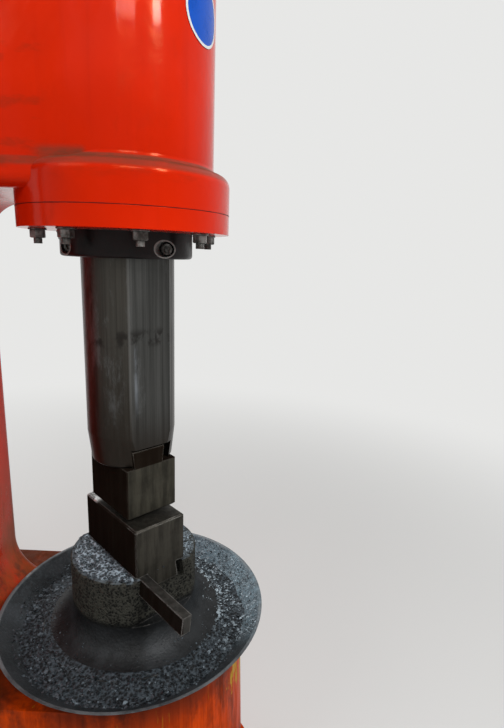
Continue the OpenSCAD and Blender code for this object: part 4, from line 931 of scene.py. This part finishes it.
def add_anvil_scale():
    """Lumpy layer of scale on the anvil's top, thinner on the right-hand side of the die."""
    bm = bmesh.new()
    cell, inset, ramp = 0.0035, 0.006, 0.008
    count = int(2 * ANVIL_R / cell) + 1
    grid = {}
    for i in range(count):
        for j in range(count):
            u, v = -ANVIL_R + i * cell, -ANVIL_R + j * cell
            if not beside_die(u, v, inset):
                continue
            lumps = 0.5 + 0.9 * noise.fractal(Vector((u * 60, v * 60, 2)), 0.8, 2.1, 4)
            rim = min(ANVIL_R - inset - math.hypot(u, v), ANVIL_FLAT - SCALE_INSET - abs(v))
            h = 0.0045 * lumps * min(1, rim / ramp) * (1.0 if u < 0 else 0.45)
            grid[i, j] = bm.verts.new((*die_place(u, v), ANVIL_TOP - 0.0006 + max(0, h)))
    for i, j in list(grid):
        corners = [(i, j), (i + 1, j), (i + 1, j + 1), (i, j + 1)]
        if all(q in grid for q in corners):
            bm.faces.new([grid[q] for q in corners])
    add_piece("scale_on_anvil", bm, "pale_grit", smooth=True)


def add_flakes():
    """Loose flakes on the bank, the cove, the tray's slope away from the lever and the anvil's top."""
    dice = random.Random(11)
    bm = bmesh.new()

    def flake(x, y, z, size):
        """Low cone of four to six uneven sides, tilted at random."""
        sides = dice.randint(4, 6)
        tilt = Matrix.Rotation(dice.uniform(-0.5, 0.5), 3, 'X') @ Matrix.Rotation(dice.uniform(-0.5, 0.5), 3, 'Y')
        start = dice.uniform(0, 6.28)
        centre = Vector((x, y, z + size * 0.25))
        hub = bm.verts.new(centre + Vector((0, 0, size * dice.uniform(-0.12, 0.18))))
        rim = []
        for k in range(sides):
            a = start + 6.283 * k / sides
            x = size * dice.uniform(0.45, 1.0) * math.cos(a)
            y = size * dice.uniform(0.45, 1.0) * math.sin(a)
            rim.append(bm.verts.new(centre + tilt @ Vector((x, y, 0))))
        for k in range(sides):
            bm.faces.new((hub, rim[k], rim[(k + 1) % sides]))

    for _ in range(BANK_FLAKES):
        a = dice.uniform(0, 2 * math.pi)
        r = LEDGE_R - 0.010 + 0.072 * dice.random() ** 1.2
        z = max(grit_height(r, a), cove_height(r) if r < LEDGE_R else 0.0, tray_floor(r) + 0.0005)
        flake(*polar(r, a), z, 0.0012 + 0.0052 * dice.random() ** 2.5)
    for _ in range(COVE_FLAKES):
        a = dice.uniform(0, 2 * math.pi)
        r = LEDGE_R - 0.004 - 0.045 * dice.random() ** 3.0
        flake(*polar(r, a), cove_height(r), dice.uniform(0.001, 0.003))
    for _ in range(SLOPE_FLAKES):
        a = dice.uniform(-0.30, 1.35)
        r = TRAY_FLOOR_R + 0.050 * dice.random()
        flake(*polar(r, a), tray_floor(r) + 0.0010, dice.uniform(0.0010, 0.0036))
    placed = 0
    while placed < ANVIL_FLAKES:
        u = -dice.uniform(0, ANVIL_R) if dice.random() < 0.75 else dice.uniform(0, ANVIL_R)
        v = dice.uniform(-ANVIL_FLAT, ANVIL_FLAT)
        if beside_die(u, v, 0.004):
            flake(*die_place(u, v), ANVIL_TOP + 0.0012, dice.uniform(0.0012, 0.0036))
            placed += 1
    add_piece("scale_flakes", bm, "flake")


add_camera()
add_studio()
dress_nodes()
add_fasteners()
add_seam()
add_sign()
add_bank()
add_anvil_scale()
add_flakes()

bpy.context.scene.view_settings.view_transform = 'Standard'
